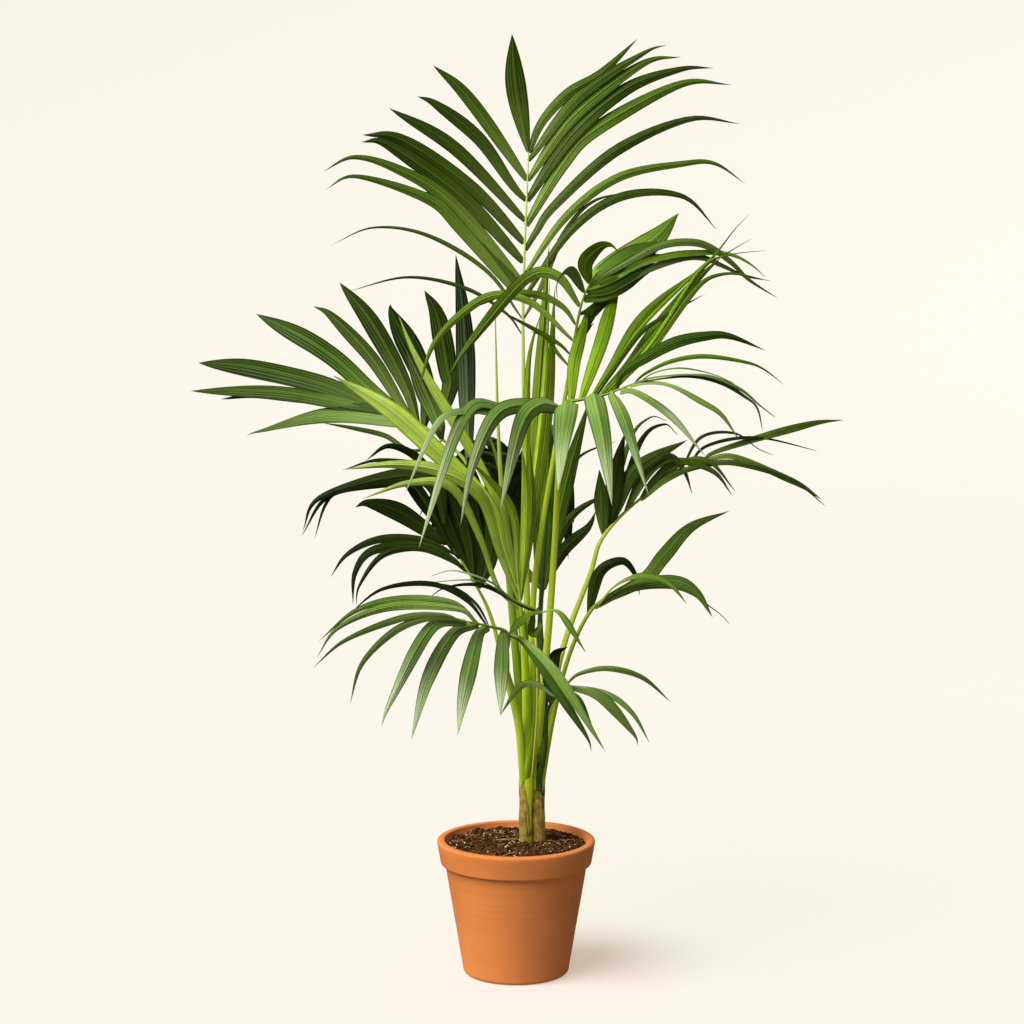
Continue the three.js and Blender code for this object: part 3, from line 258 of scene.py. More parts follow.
        ], widest=0.6) + straps(RIGHT, [
            (0.776, 17, (43, -16, 803), (55, 0, 1000)),
            (0.778, 21, (26, -13, 746), (47, 25, 1060)),
            (0.833, 9, (36, -23, 819), (48, -10, 1016)),
            (0.833, 13, (13, -32, 720), (17, -24, 887), (35, -20, 964)),
            (0.778, 14, (21, -48, 670), (19, -60, 786)),
            (0.781, 13, (15, -63, 693), (8, -80, 777)),
        ], widest=0.6),
    ),
    "left_fan": dict(
        stalk=[(16, 4.5, 282), (11, 12, 489), (-23, 54, 621), (-67, 109, 726), (-113, 155, 769),
               (-153, 198, 791)],
        stout=1.6, leaf_from=0.6, face=(0.25, -1, 0.5), palette="fan",
        rows=straps(LEFT, [
            (1, 37, (-220, 225, 813), (-298, 250, 843), (-407, 285, 866), (-489, 305, 870)),
        ], widest=0.68, sharp=2.2) + straps(LEFT, [
            (0.986, 26, (-220, 217, 806), (-359, 255, 830), (-501, 300, 827)),
        ], widest=0.6, sharp=2) + straps(LEFT, [
            (0.972, 20, (-207, 212, 806), (-374, 265, 826), (-454, 290, 815)),
        ], widest=0.62, sharp=2.2) + straps(LEFT, [
            (0.78, 8, (-154, 145, 750), (-195, 170, 770), (-242, 195, 779), (-293, 220, 785)),
        ], widest=0.55, sharp=2) + straps(LEFT, [
            (0.93, 27, (-280, 227, 797), (-391, 259, 769), (-411, 265, 761)),
        ], widest=0.5, palette="soft") + straps(LEFT, [
            (1, 34, (-218, 240, 832), (-275, 262, 880), (-330, 280, 914), (-399, 308, 945)),
        ], widest=0.66, sharp=2.2) + straps(RIGHT, [
            (0.986, 24, (-172, 208, 814), (-220, 240, 884), (-280, 273, 944), (-310, 285, 958)),
            (0.968, 31, (-167, 211, 847), (-218, 242, 936), (-268, 265, 995)),
            (0.92, 36, (-132, 192, 833), (-152, 206, 887), (-185, 221, 949), (-189, 225, 964)),
            (0.839, 31, (-98, 166, 842), (-101, 166, 868), (-116, 169, 947), (-136, 170, 987)),
        ], widest=0.62, sharp=2.2) + straps(RIGHT, [
            (0.78, 30, (-113, 140, 789), (-135, 165, 839), (-164, 190, 897)),
        ], widest=0.5, sharp=2) + straps(RIGHT, [
            (0.614, 30, (-75, 111, 924), (-88, 110, 1042)),
        ], widest=0.5, sharp=1.8, palette="grey_sheen"),
    ),
    "low_left": dict(
        stalk=[(9.5, 3, 282), (2, 10, 361), (-15, 10, 433), (-35, 17, 517), (-59, 27, 568), (-102, 44, 637)],
        leaf_from=0.78, face=(0.2, -1, 0.5), palette="deep",
        rows=straps(LEFT, [
            (0.924, 13, (-134, 25, 633), (-196, 11, 636), (-242, 0, 616), (-267, -10, 583)),
            (0.856, 15, (-95, 24, 608), (-134, 15, 626), (-204, 0, 622), (-231, -10, 591), (-234, -20, 544)),
            (0.851, 11, (-93, 23, 603), (-141, 10, 623), (-192, -3, 614), (-224, -17, 573),
                (-229, -25, 543)),
        ], widest=0.5) + straps(LEFT, [
            (0.979, 33, (-108, 40, 634), (-169, 27, 674), (-212, 19, 688), (-232, 15, 682)),
            (0.998, 14, (-111, 43, 690), (-138, 42, 746), (-183, 41, 768), (-218, 40, 746)),
            (0.998, 9, (-112, 39, 725), (-191, 34, 748), (-251, 30, 734)),
        ], widest=0.5, sharp=1.8) + straps(LEFT, [
            (0.991, 24, (-112, 39, 695), (-154, 35, 725), (-280, 25, 696), (-309, 20, 644)),
        ], widest=0.45, sharp=1, base=0.3) + straps(LEFT, [
            (0.99, 9, (-134, 38, 702), (-163, 36, 715), (-267, 29, 698), (-311, 24, 637)),
            (0.996, 8, (-138, 40, 698), (-150, 39, 710), (-166, 38, 713), (-249, 33, 704), (-275, 31, 685),
                (-292, 28, 632)),
        ], widest=0.6, sharp=1.6, base=0.3) + straps(RIGHT, [
            (0.78, 30, (-47, 32, 624), (-70, 45, 754)),
            (0.81, 32, (-68, 36, 642), (-103, 50, 754)),
            (0.856, 28, (-79, 36, 617), (-121, 52, 715), (-132, 55, 734)),
            (0.909, 24, (-121, 49, 671), (-164, 60, 713)),
            (0.78, 26, (-36, 29, 606), (-34, 35, 685), (-39, 40, 745)),
        ], widest=0.6, sharp=2),
    ),
    "front_left": dict(
        stalk=[(9.5, -3.5, 282), (4, -26, 386), (-15, -66, 466), (-12, -100, 516), (-42, -134, 534),
               (-76, -174, 548)],
        stout=1.15, leaf_from=0.6, face=(0, -0.3, 1), palette="mid",
        rows=straps(LEFT, [
            (0.602, 15, (14, -120, 508), (57, -165, 469), (121, -250, 380)),
        ], widest=0.5, face=(0, -1, 0.4), palette="soft") + straps(LEFT, [
            (0.602, 13, (17, -125, 499), (91, -207, 402), (103, -225, 374)),
        ], widest=0.6, base=0.3, face=(0, -1, 0.4), palette="gloss") + straps(LEFT, [
            (0.668, 22, (-22, -195, 419)),
            (0.785, 24, (-54, -143, 519), (-73, -191, 443), (-80, -220, 397)),
            (0.867, 21, (-87, -164, 528), (-121, -196, 471), (-143, -235, 394)),
            (0.96, 20, (-117, -187, 540), (-169, -233, 450), (-183, -250, 415)),
        ], widest=0.45, base=0.6, face=(0, -1, 0.5), palette="sheen") + straps(LEFT, [
            (0.994, 11, (-116, -188, 554), (-164, -206, 540), (-209, -229, 498), (-225, -250, 446)),
            (0.994, 10, (-104, -183, 558), (-157, -200, 556), (-232, -226, 530), (-276, -245, 494)),
        ], widest=0.45, face=(0, -1, 0.6), palette="soft") + straps(RIGHT, [
            (0.869, 13, (-81, -158, 562), (-172, -185, 569), (-242, -209, 544), (-272, -225, 504)),
            (0.855, 12, (-89, -155, 570), (-163, -172, 577), (-221, -185, 563), (-271, -200, 523)),
        ], widest=0.45, face=(0, -1, 0.6), palette="soft") + straps(RIGHT, [
            (0.785, 8, (-68, -135, 569), (-117, -139, 593), (-185, -145, 587), (-233, -150, 552)),
            (0.769, 5, (-55, -129, 563), (-87, -129, 587), (-123, -130, 594)),
        ], widest=0.5, face=(0, -1, 0.6), palette="deep"),
    ),
    "small_front": dict(
        stalk=[(14, -5.5, 282), (24, -23, 349), (33, -47, 470), (35, -95, 548)],
        leaf_from=0.92, face=(0, -0.3, 1), palette="mid",
        rows=straps(LEFT, [
            (0.989, 6, (12, -95, 554), (-44, -99, 585), (-96, -103, 584), (-126, -105, 566)),
        ], widest=0.5, face=(0, -1, 0.6), palette="deep") + straps(LEFT, [
            (1, 8, (-5, -101, 567), (-37, -107, 593), (-86, -115, 609), (-119, -120, 602)),
            (0.996, 6, (3, -97, 560), (-50, -103, 592), (-112, -109, 592), (-125, -110, 586)),
        ], widest=0.5, palette="sheen") + straps(LEFT, [
            (1, 18, (14, -108, 546), (-12, -130, 520)),
        ], widest=0.6) + straps(LEFT, [
            (1, 13, (62, -109, 548), (97, -140, 497)),
        ], widest=0.5) + straps(RIGHT, [
            (0.92, 24, (24, -82, 517), (24, -81, 538), (33, -80, 553)),
        ], widest=0.5),
    ),
    "low_right": dict(
        stalk=[(32, 0, 282), (42, -27, 337), (45, -61, 400), (69, -148, 454)],
        leaf_from=0.76, face=(0, -0.3, 1), palette="mid",
        rows=straps(RIGHT, [
            (0.831, 10, (26, -99, 446), (3, -97, 439), (-23, -95, 399)),
        ], widest=0.5, face=(0, -1, 0.5), palette="soft") + straps(RIGHT, [
            (0.762, 22, (48, -41, 449), (58, -8, 474), (75, 10, 479)),
        ], widest=0.6, face=(0, -1, 0.5), palette="deep") + straps(LEFT, [
            (1, 9, (87, -148, 469), (127, -149, 477), (175, -149, 464), (216, -150, 428)),
            (0.986, 9, (124, -161, 444), (160, -175, 419), (184, -190, 379)),
            (0.978, 16, (116, -164, 440), (160, -192, 395), (167, -200, 378)),
            (0.928, 7, (87, -125, 431), (106, -120, 392)),
        ], widest=0.5, face=(0, -1, 0.5), palette="soft"),
    ),
    "right": dict(
        stalk=[(36.5, 10, 282), (64, 38, 455), (108, 66, 576), (129, 82, 632), (192, 126, 687),
               (285, 193, 735)],
        stout=1.1, leaf_from=0.6, face=(-0.3, -1, 0.6), fold=0.3, palette="dark",
        rows=straps(LEFT, [
            (0.6, 24, (122, 95, 728)),
            (0.626, 9, (166, 126, 764), (198, 141, 800), (225, 150, 794)),
        ], widest=0.5) + straps(LEFT, [
            (0.632, 28, (147, 101, 729), (160, 110, 781)),
            (0.652, 11, (182, 122, 764), (218, 133, 791), (240, 140, 774)),
        ], widest=0.5, palette="deep") + straps(LEFT, [
            (0.652, 26, (147, 95, 671), (175, 106, 728), (253, 120, 769)),
            (0.713, 20, (193, 114, 723), (228, 120, 744), (250, 125, 722), (261, 130, 687)),
            (0.779, 14, (205, 122, 712), (240, 125, 738), (292, 127, 722), (321, 130, 684)),
            (0.819, 12, (238, 138, 730), (286, 143, 736), (327, 150, 688)),
        ], widest=0.5) + straps(RIGHT, [
            (0.777, 16, (225, 120, 716), (277, 120, 732)),
            (0.867, 12, (239, 148, 716), (317, 152, 733), (409, 157, 707), (464, 160, 664)),
        ], widest=0.5) + straps(LEFT, [
            (0.918, 7, (276, 186, 766), (329, 206, 771), (366, 221, 746), (390, 230, 735)),
            (0.942, 8, (287, 195, 753), (367, 234, 762), (464, 280, 736)),
        ], widest=0.45, palette="deep") + straps(LEFT, [
            (0.994, 16, (311, 207, 747), (445, 276, 779), (506, 305, 782)),
        ], widest=0.6, sharp=2) + straps(RIGHT, [
            (0.982, 15, (330, 202, 736), (422, 230, 696), (467, 245, 665)),
        ], widest=0.6, sharp=2),
    ),
    "lower_right": dict(
        stalk=[(37.5, 3, 282), (52, -29, 379), (73, -57, 472), (99, -78, 537), (126, -99, 569),
               (171, -134, 603)],
        leaf_from=0.6, face=(-0.4, -0.4, 1), palette="dark",
        rows=straps(LEFT, [
            (0.618, 18, (116, -82, 600), (148, -83, 618), (167, -84, 599), (174, -85, 568)),
        ], widest=0.3, face=(-0.2, -1, 0.3), palette="deep") + straps(LEFT, [
            (0.73, 24, (178, -99, 596), (205, -99, 627), (243, -100, 668), (298, -100, 691)),
        ], widest=0.5, face=(-0.4, -1, 0.5)) + straps(RIGHT, [
            (0.7, 7, (150, -100, 577), (226, -102, 582), (278, -108, 552), (299, -110, 532)),
        ], widest=0.5) + straps(RIGHT, [
            (0.69, 21, (162, -114, 588), (219, -140, 598), (249, -157, 584), (270, -175, 552)),
        ], widest=0.55, face=(-0.3, -1, 0.8)) + straps(RIGHT, [
            (0.729, 15, (140, -117, 590), (172, -143, 607), (207, -170, 602), (233, -200, 575)),
        ], widest=0.5),
    ),
    "mid_back": dict(
        stalk=[(28.5, 24, 282), (44, 66, 390), (37, 114, 501), (45, 154, 570)],
        leaf_from=0.86, face=(0, -1, 0.3), palette="dark",
        rows=straps(RIGHT, [
            (0.86, 24, (74, 117, 706), (108, 100, 832)),
            (0.86, 7, (60, 165, 660), (91, 184, 733), (155, 200, 761)),
            (0.932, 13, (73, 153, 638), (111, 157, 672), (145, 160, 679)),
            (0.899, 19, (72, 146, 602), (107, 148, 635), (119, 150, 660)),
        ], widest=0.55) + straps(LEFT, [
            (0.86, 16, (41, 141, 599), (56, 150, 758)),
            (0.86, 17, (33, 146, 598), (46, 170, 756)),
            (0.86, 20, (-2, 161, 591), (-21, 190, 671)),
        ], widest=0.5) + straps(LEFT, [
            (0.86, 22, (48, 103, 758), (39, 90, 833)),
        ], widest=0.55, palette="mid"),
    ),
    "back_left": dict(
        stalk=[(18, 30, 282), (6, 70, 508), (-16, 140, 677), (-39, 240, 757), (-57, 420, 724)],
        leaf_from=0.6, face=(0, 0.3, 1), palette="deep", split=True,
        rows=spray(LEFT, [
            (-145, 240, 640), (-135, 330, 580), (-120, 430, 560), (-110, 540, 560)
        ]) + spray(RIGHT, [
            (35, 240, 695), (20, 330, 590), (5, 430, 545), (-25, 540, 530)
        ]),
    ),
    "back_right": dict(
        stalk=[(25, 30.5, 282), (35, 70, 508), (47, 120, 694), (54, 220, 774), (60, 380, 759)],
        leaf_from=0.6, face=(0, 0.3, 1), palette="deep", split=True,
        rows=spray(LEFT, [
            (-10, 200, 700), (-25, 280, 600), (5, 380, 555), (45, 480, 555)
        ]) + spray(RIGHT, [
            (85, 200, 700), (88, 280, 610), (84, 380, 555), (66, 480, 555)
        ]),
    ),
    "spear": dict(
        stalk=[(15.5, 23, 282), (-12, 20, 604), (-25, 20, 778), (-30, 10, 955)],
        stout=1.5, leaf_from=1, face=(0, -1, 0), palette="bright",
        rows=[],
    ),
}


# ---- curves and meshes ----


def unit(v):
    v = np.asarray(v, float)
    return v / np.maximum(np.linalg.norm(v, axis=-1, keepdims=True), 1e-9)


def along(values, share):
    """The value at a share of a list's length, between two entries where need be."""
    return float(np.interp(share * (len(values) - 1), range(len(values)), values))


def smooth(a, b, x):
    """Rises from 0 at a to 1 at b, level at both ends."""
    s = np.clip((np.asarray(x, float) - a) / (b - a), 0, 1)
    return s * s * (3 - 2 * s)


def curve_at(points, t):
    """A point of the smooth curve through the points, at share t of them."""
    p = np.asarray(points, float)
    p = np.vstack([2 * p[0] - p[1], p, 2 * p[-1] - p[-2]])
    x = min(max(t, 0.0), 1.0) * (len(p) - 3)
    k = min(int(x), len(p) - 4)
    u = x - k
    a, b, c, d = p[k : k + 4]
    return 0.5 * (2 * b + (c - a) * u + (2 * a - 5 * b + 4 * c - d) * u**2 + (3 * b - a - 3 * c + d) * u**3)


def tangent_at(points, t):
    step = 0.004
    return unit(curve_at(points, min(t + step, 1)) - curve_at(points, max(t - step, 0)))


def bezier(c, t):
    t = t[:, None]
    return (1 - t) ** 3 * c[0] + 3 * (1 - t) ** 2 * t * c[1] + 3 * (1 - t) * t**2 * c[2] + t**3 * c[3]


def carried(path, across):
    """Tangents of a path, and an across vector carried along it without turning round it."""
    tangents = unit(np.gradient(path, axis=0))
    turned = []
    for tangent in tangents:
        across = unit(across - (across @ tangent) * tangent)
        turned.append(across)
    return tangents, np.array(turned)


def full_turn(sides):
    return np.linspace(0, 2 * math.pi, sides, endpoint=False)


def ring(radius, z, sides):
    """A ring of points round the pot's axis. z is its height, or the height of each point."""
    angles = full_turn(sides)
    return np.stack([radius * np.cos(angles), radius * np.sin(angles), np.full(sides, z, float)], 1)


def mesh_of(name, points, faces, materials, slots):
    mesh = bpy.data.meshes.new(name)
    mesh.from_pydata((np.vstack(points) * MM).tolist(), [], faces)
    for material in materials:
        mesh.materials.append(material)
    mesh.polygons.foreach_set("material_index", slots)
    mesh.polygons.foreach_set("use_smooth", [True] * len(faces))
    return mesh


def add_object(name, data):
    made = bpy.data.objects.new(name, data)
    bpy.context.scene.collection.objects.link(made)
    return made


class Patches:
    """Grids of points joined into one mesh. Each grid has its own place in the bake map."""

    MARGIN = 0.06

    def __init__(self):
        self.points, self.count = [], 0
        self.faces, self.slots, self.own, self.island, self.islands = [], [], [], [], 0

    def add_points(self, points):
        points = np.asarray(points, float).reshape(-1, 3)
        self.points.append(points)
        ids = np.arange(self.count, self.count + len(points))
        self.count += len(points)
        return ids

    def grid(self, ids, slot=0, flip=False, u=None, v=None):
        """Faces over a grid of point numbers. u and v are each column's and row's own coordinate."""
        rows, cols = ids.shape
        a, b = np.linspace(0, 1, cols), np.linspace(0, 1, rows)
        u = a if u is None else u
        v = b if v is None else v
        for i in range(rows - 1):
            for j in range(cols - 1):
                corners = [(i, j), (i, j + 1), (i + 1, j + 1), (i + 1, j)]
                if flip:
                    corners.reverse()
                seen, face = set(), []
                for corner in corners:
                    if ids[corner] not in seen:
                        seen.add(ids[corner])
                        face.append(corner)
                if len(face) > 2:
                    self.faces.append([int(ids[c]) for c in face])
                    self.slots.append(slot)
                    self.own += [(u[c[1]], v[c[0]]) for c in face]
                    self.island += [(self.islands, a[c[1]], b[c[0]]) for c in face]
        self.islands += 1

    def bake_map(self):
        """Each grid in a cell of its own, taller than wide."""
        cols = math.ceil(math.sqrt(self.islands * 3))
        rows = math.ceil(self.islands / cols)
        island = np.array(self.island, float)
        cell, a, b = island[:, 0].astype(int), island[:, 1], island[:, 2]
        x = (cell % cols + self.MARGIN + (1 - 2 * self.MARGIN) * a) / cols
        y = (cell // cols + self.MARGIN / 3 + (1 - self.MARGIN / 1.5) * b) / rows
        return np.stack([x, y], 1)

    def build(self, name, materials, smooth_angle=55.0):
        mesh = mesh_of(name, self.points, self.faces, materials, self.slots)
        mesh.uv_layers.new(name="OFBake").data.foreach_set("uv", self.bake_map().ravel())
        mesh.uv_layers.new(name="own").data.foreach_set("uv", np.array(self.own, float).ravel())
        mesh.set_sharp_from_angle(angle=math.radians(smooth_angle))
        mesh.validate()
        return add_object(name, mesh)


def closed_skin(patches, rings, slot=0):
    """A closed skin over rings of points, given as an array (rings, sides, 3)."""
    rings = np.asarray(rings, float)
    count, sides, _ = rings.shape
    ids = patches.add_points(rings).reshape(count, sides)
    ids = np.hstack([ids, ids[:, :1]])
    first = patches.add_points(rings[0].mean(0))
    last = patches.add_points(rings[-1].mean(0))
    patches.grid(np.vstack([np.repeat(first, sides + 1), ids, np.repeat(last, sides + 1)]), slot)


# How far a groove reaches round a limb, in radians.
GROOVE_ANGLE = 0.55


def tube(patches, path, radii, slot=0, sides=10, across=(1, 0, 0), groove=0.0):
    """A round limb along a path. It has a groove, as deep as this share of it, where across looks."""
    path = np.asarray(path, float)
    tangents, sideways = carried(path, np.asarray(across, float))
    through = np.cross(tangents, sideways)
    angles = full_turn(sides)[:, None]
    reach = 1 - groove * np.exp(-((np.minimum(angles, 2 * math.pi - angles) / GROOVE_ANGLE) ** 2))
    spokes = sideways[:, None] * np.cos(angles) + through[:, None] * np.sin(angles)
    closed_skin(patches, path[:, None] + spokes * reach * np.asarray(radii, float)[:, None, None], slot)


def place(piece, slot, *nodes):
    """Puts a finished piece on the plant's body, in place of CAD nodes."""
    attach(piece, BODY)
    if nodes:
        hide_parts(*nodes)


# ---- materials ----


def srgb(r, g, b):
    """A colour given as 0-255 sRGB, in linear light."""
    c = np.array((r, g, b)) / 255
    lin = np.where(c <= 0.04045, c / 12.92, ((c + 0.055) / 1.055) ** 2.4)
    return (*map(float, lin), 1.0)


def shade(colour, share):
    return (*(c * share for c in colour[:3]), 1.0)


class Skin:
    """A material in the making. Layers are laid over its tint, which becomes its base colour."""

    def __init__(self, name, tint):
        self.material = bpy.data.materials.new(name)
        self.material.use_nodes = True
        self.tree = self.material.node_tree
        self.shader = self.tree.nodes["Principled BSDF"]
        self.tint = tint

    def put(self, node, **values):
        """Sets a node's inputs, each to a value or to another node's output."""
        for name, value in values.items():
            socket = node.inputs[int(name[1:]) if name[0] == "_" else name.replace("_", " ")]
            if isinstance(value, bpy.types.NodeSocket):
                self.tree.links.new(value, socket)
            else:
                socket.default_value = value

    def node(self, kind, output, settings=None, **values):
        """A new node's output. An input without a name is given as _ and its number."""
        node = self.tree.nodes.new(f"ShaderNode{kind}")
        for name, value in (settings or {}).items():
            setattr(node, name, value)
        self.put(node, **values)
        return node.outputs[output]

    def math(self, operation, *values):
        return self.node("Math", 0, dict(operation=operation), **{f"_{k}": v for k, v in enumerate(values)})

    def ranged(self, value, span, amount=(0.0, 1.0)):
        """Goes smoothly from the first amount to the second while value crosses the span."""
        return self.node("MapRange", "Result", dict(interpolation_type="SMOOTHSTEP"), Value=value,
                         From_Min=span[0], From_Max=span[1], To_Min=amount[0], To_Max=amount[1])

    def mixed(self, factor, a, b):
        return self.node("Mix", 2, dict(data_type="RGBA"), Factor=factor, _6=a, _7=b)

    def layer(self, mask, colour, span=None, amount=(0.0, 1.0)):
        """Lays a colour over the tint by a mask, which is first ranged where a span is given."""
        self.tint = self.mixed(self.ranged(mask, span, amount) if span else mask, self.tint, colour)

    def coordinates(self):
        return self.node("TexCoord", "Object")

    def own_map(self):
        """The mesh's own coordinates: both, the one across it and the one along it."""
        uv = self.node("UVMap", "UV", dict(uv_map="own"))
        return uv, self.node("SeparateXYZ", "X", Vector=uv), self.node("SeparateXYZ", "Y", Vector=uv)

    def noise(self, scale, detail, vector=None, roughness=0.55):
        return self.node("TexNoise", "Fac", Scale=scale, Detail=detail, Roughness=roughness,
                         Vector=vector or self.coordinates())

    def streaks(self, vector, scale, detail, roughness=0.55):
        """Noise drawn out by a scale of its own each way."""
        return self.noise(1.0, detail, self.node("Mapping", "Vector", Scale=scale, Vector=vector), roughness)

    def bump(self, height, distance, strength):
        self.put(self.shader, Normal=self.node("Bump", "Normal", Distance=distance, Strength=strength,
                                               Height=height))

    def done(self, roughness, shine=0.5):
        self.put(self.shader, Base_Color=self.tint, Roughness=roughness, Specular_IOR_Level=shine)
        return self.material


VEIN_SETS = 7
LEAF_SHINE = 0.05
DRY_POINT = srgb(120, 92, 48)
# The colour of painted sheen, which pales the ends of some leaflets.
PAINTED_SHEEN = srgb(194, 211, 164)


def leaf_material(name, colour, vein, sheen_share, roughness):
    """A leaflet's skin: parallel veins, soft streaks along it, a dark end or an end of painted sheen, a foot
    of painted sheen, margins of painted shade, and a dry point.
    """
    skin = Skin(name, shade(colour, 0.62))
    uv, u, v = skin.own_map()
    wave = skin.math("COSINE", skin.math("MULTIPLY", u, 2 * math.pi * VEIN_SETS))
    fine = skin.streaks(uv, (26, 3, 1), 2.0)
    cloud = skin.noise(22.0, 3.0)
    skin.layer(skin.streaks(uv, (1.7, 1.1, 1), 2.0), shade(colour, 1.4), (0.3, 0.7))
    skin.layer(fine, shade(colour, 1.6), (0.35, 0.7), (0.0, 0.5))
    skin.layer(cloud, shade(colour, 0.5), (0.35, 0.75), (0.0, 0.6))
    # Painted sheen: the end pales in streaks, as if it reflected the light.
    if sheen_share:
        end = skin.ranged(v, (0.35, 0.95), (0.0, sheen_share))
        skin.layer(skin.math("MULTIPLY", end, skin.ranged(fine, (0.32, 0.62), (0.4, 1.15))), PAINTED_SHEEN)
    else:
        skin.layer(v, shade(colour, 0.5), (0.3, 0.85), (0.0, 0.72))
    # Painted sheen: the foot pales towards the rib, as if it reflected the light.
    skin.layer(v, vein, (0.0, 0.6), (0.42, 0.0))
    skin.layer(skin.math("MULTIPLY", skin.ranged(wave, (0.5, 1.0)), 0.34), vein)
    aside = skin.math("ABSOLUTE", skin.math("SUBTRACT", skin.math("FRACT", u), 0.5))
    skin.layer(aside, vein, (0.0, 0.045), (0.45, 0.0))
    # Painted shade: the margins darken, which sets overlapping leaflets apart.
    skin.layer(aside, shade(colour, 0.35), (0.37, 0.48), (0.0, 0.65))
    skin.layer(v, DRY_POINT, (0.975, 0.995))
    height = skin.math("ADD", skin.math("MULTIPLY", wave, 0.5), skin.math("MULTIPLY", fine, 0.8))
    skin.bump(height, 0.0004, 0.7)
    return skin.done(skin.ranged(cloud, (0.25, 0.75), (roughness - 0.06, roughness + 0.1)), LEAF_SHINE)


def stalk_material(name, low, high, streak_and_highlight):
    """A stalk's skin: one colour at its foot, another at its end, with fine pale streaks along it that are
    partly painted highlights.
    """
    skin = Skin(name, low)
    uv, _, v = skin.own_map()
    fine = skin.streaks(uv, (18, 5, 1), 3.0)
    skin.layer(v, high, (0.1, 0.85))
    skin.layer(fine, streak_and_highlight, (0.42, 0.7), (0.0, 0.55))
    skin.bump(fine, 0.0005, 0.6)
    return skin.done(0.42, 0.2)


def sheath_material(name, base, dark, light, fleck):
    """A dry fibrous sheath: streaks, dark patches and a few pale flecks."""
    skin = Skin(name, base)
    fine = skin.streaks(skin.own_map()[0], (30, 4, 1), 4.0, 0.7)
    skin.layer(skin.noise(90.0, 4.0), dark, (0.4, 0.66))
    skin.layer(fine, light, (0.5, 0.72), (0.0, 0.8))
    skin.layer(skin.noise(420.0, 2.0), fleck, (0.7, 0.74))
    skin.bump(fine, 0.0012, 0.9)
    return skin.done(0.7)


def clay_material():
    """Fired clay: a cloudy tint, fine grain, and faint rings left by the wheel."""
    skin = Skin("terracotta", srgb(211, 127, 62))
    cloud = skin.noise(9.0, 5.0)
    grain = skin.noise(620.0, 3.0)
    rings = skin.streaks(skin.coordinates(), (3, 3, 260), 4.0)
    skin.layer(cloud, srgb(199, 117, 56), (0.3, 0.7))
    skin.layer(grain, srgb(221, 138, 80), (0.55, 0.75), (0.0, 0.35))
    skin.layer(rings, srgb(180, 98, 46), (0.5, 0.8), (0.0, 0.25))
    height = skin.math("ADD", skin.math("MULTIPLY", rings, 0.8), skin.math("MULTIPLY", grain, 0.35))
    skin.bump(height, 0.0006, 0.5)
    return skin.done(skin.ranged(cloud, (0.3, 0.7), (0.72, 0.86)), 0.35)


def soil_material():
    """Dark potting soil with lighter grains."""
    skin = Skin("soil_ground", srgb(46, 26, 10))
    grain = skin.noise(520.0, 4.0)
    skin.layer(skin.noise(70.0, 5.0), srgb(92, 58, 26), (0.35, 0.65))
    skin.layer(grain, srgb(126, 88, 46), (0.58, 0.7), (0.0, 0.7))
    skin.bump(grain, 0.002, 0.9)
    return skin.done(0.95, 0.1)


def grain_material(name, colour, roughness):
    """The mottled skin of a crumb, a grain or a fibre."""
    skin = Skin(name, shade(colour, 0.78))
    cloud = skin.noise(340.0, 3.0)
    skin.layer(cloud, shade(colour, 1.12), (0.3, 0.7))
    skin.bump(cloud, 0.0003, 0.5)
    return skin.done(roughness, 0.12)


# ---- fronds ----

# Upper side, vein and underside of each kind of leaf.
PALETTES = {
    "dark": ((57, 87, 5), (140, 162, 80), (86, 114, 30)),
    "gloss": ((54, 86, 3), (90, 122, 22), (106, 136, 36)),
    "fan": ((40, 62, 6), (116, 140, 68), (68, 94, 24)),
    # Painted shade: a green darkened almost to black, for leaflets that lie in the plant's shade.
    "deep": ((24, 38, 3), (60, 78, 28), (48, 66, 18)),
    "mid": ((84, 119, 15), (150, 176, 78), (118, 146, 44)),
    "soft": ((88, 118, 36), (150, 174, 106), (116, 142, 64)),
    # Painted light: a brighter copy of bright, for young leaflets where the light falls.
    "lit": ((180, 216, 56), (212, 232, 128), (172, 206, 60)),
    # A young leaf's paler green, brightened further as painted light shining through it.
    "bright": ((156, 190, 40), (194, 212, 96), (154, 186, 44)),
    "fresh": ((94, 130, 9), (146, 176, 48), (112, 144, 24)),
    # Painted sheen: dark green with pale grey vein streaks, a silvery reflection put into the colour.
    "grey_sheen": ((42, 62, 28), (138, 154, 122), (70, 90, 54)),
    # Its pale ends are painted sheen.
    "sheen": ((70, 103, 26), (140, 165, 92), (112, 140, 60)),
}
# How far painted sheen pales the ends of these. Their tones differ less than those of the others.
SHEEN_SHARE = {"sheen": 0.88, "lit": 0.3}
PALE_TONE_RANGE = 0.4
TONES = (0.66, 1.02, 1.42)
SLOT_OF = {"dark": "leaf_dark", "fan": "leaf_dark", "deep": "leaf_dark", "mid": "leaf_mid",
           "bright": "leaf_bright"}
made_leaf_materials = {}


def leaf_materials(palette):
    """Upper and under side of a palette in each tone, one after another."""
    if palette in made_leaf_materials:
        return made_leaf_materials[palette]
    upper, vein, under = (srgb(*c) for c in PALETTES[palette])
    sheen_share = SHEEN_SHARE.get(palette, 0.0)
    made = made_leaf_materials[palette] = []
    for k, tone in enumerate(TONES):
        if sheen_share:
            tone = 1 + (tone - 1) * PALE_TONE_RANGE
        for label, tint, pale, roughness in (("", upper, 1, 0.38), ("_under", under, 0.6, 0.5)):
            made.append(leaf_material(f"leaf_{palette}{label}_{k}", shade(tint, tone), shade(vein, tone),
                                      sheen_share * pale, roughness))
    return made


LEAF_STEPS = 34
LEAF_COLUMNS = 12
# Half a blade's thickness, how far its midrib stands out above and below, and the square of its reach.
BLADE, RIB_ABOVE, RIB_BELOW, RIB_SPREAD = 0.3, 0.25, 0.8, 1.2
# How deep the pleats are, and the half width from which on they are that deep.
PLEAT, PLEATED_FROM = 0.45, 8
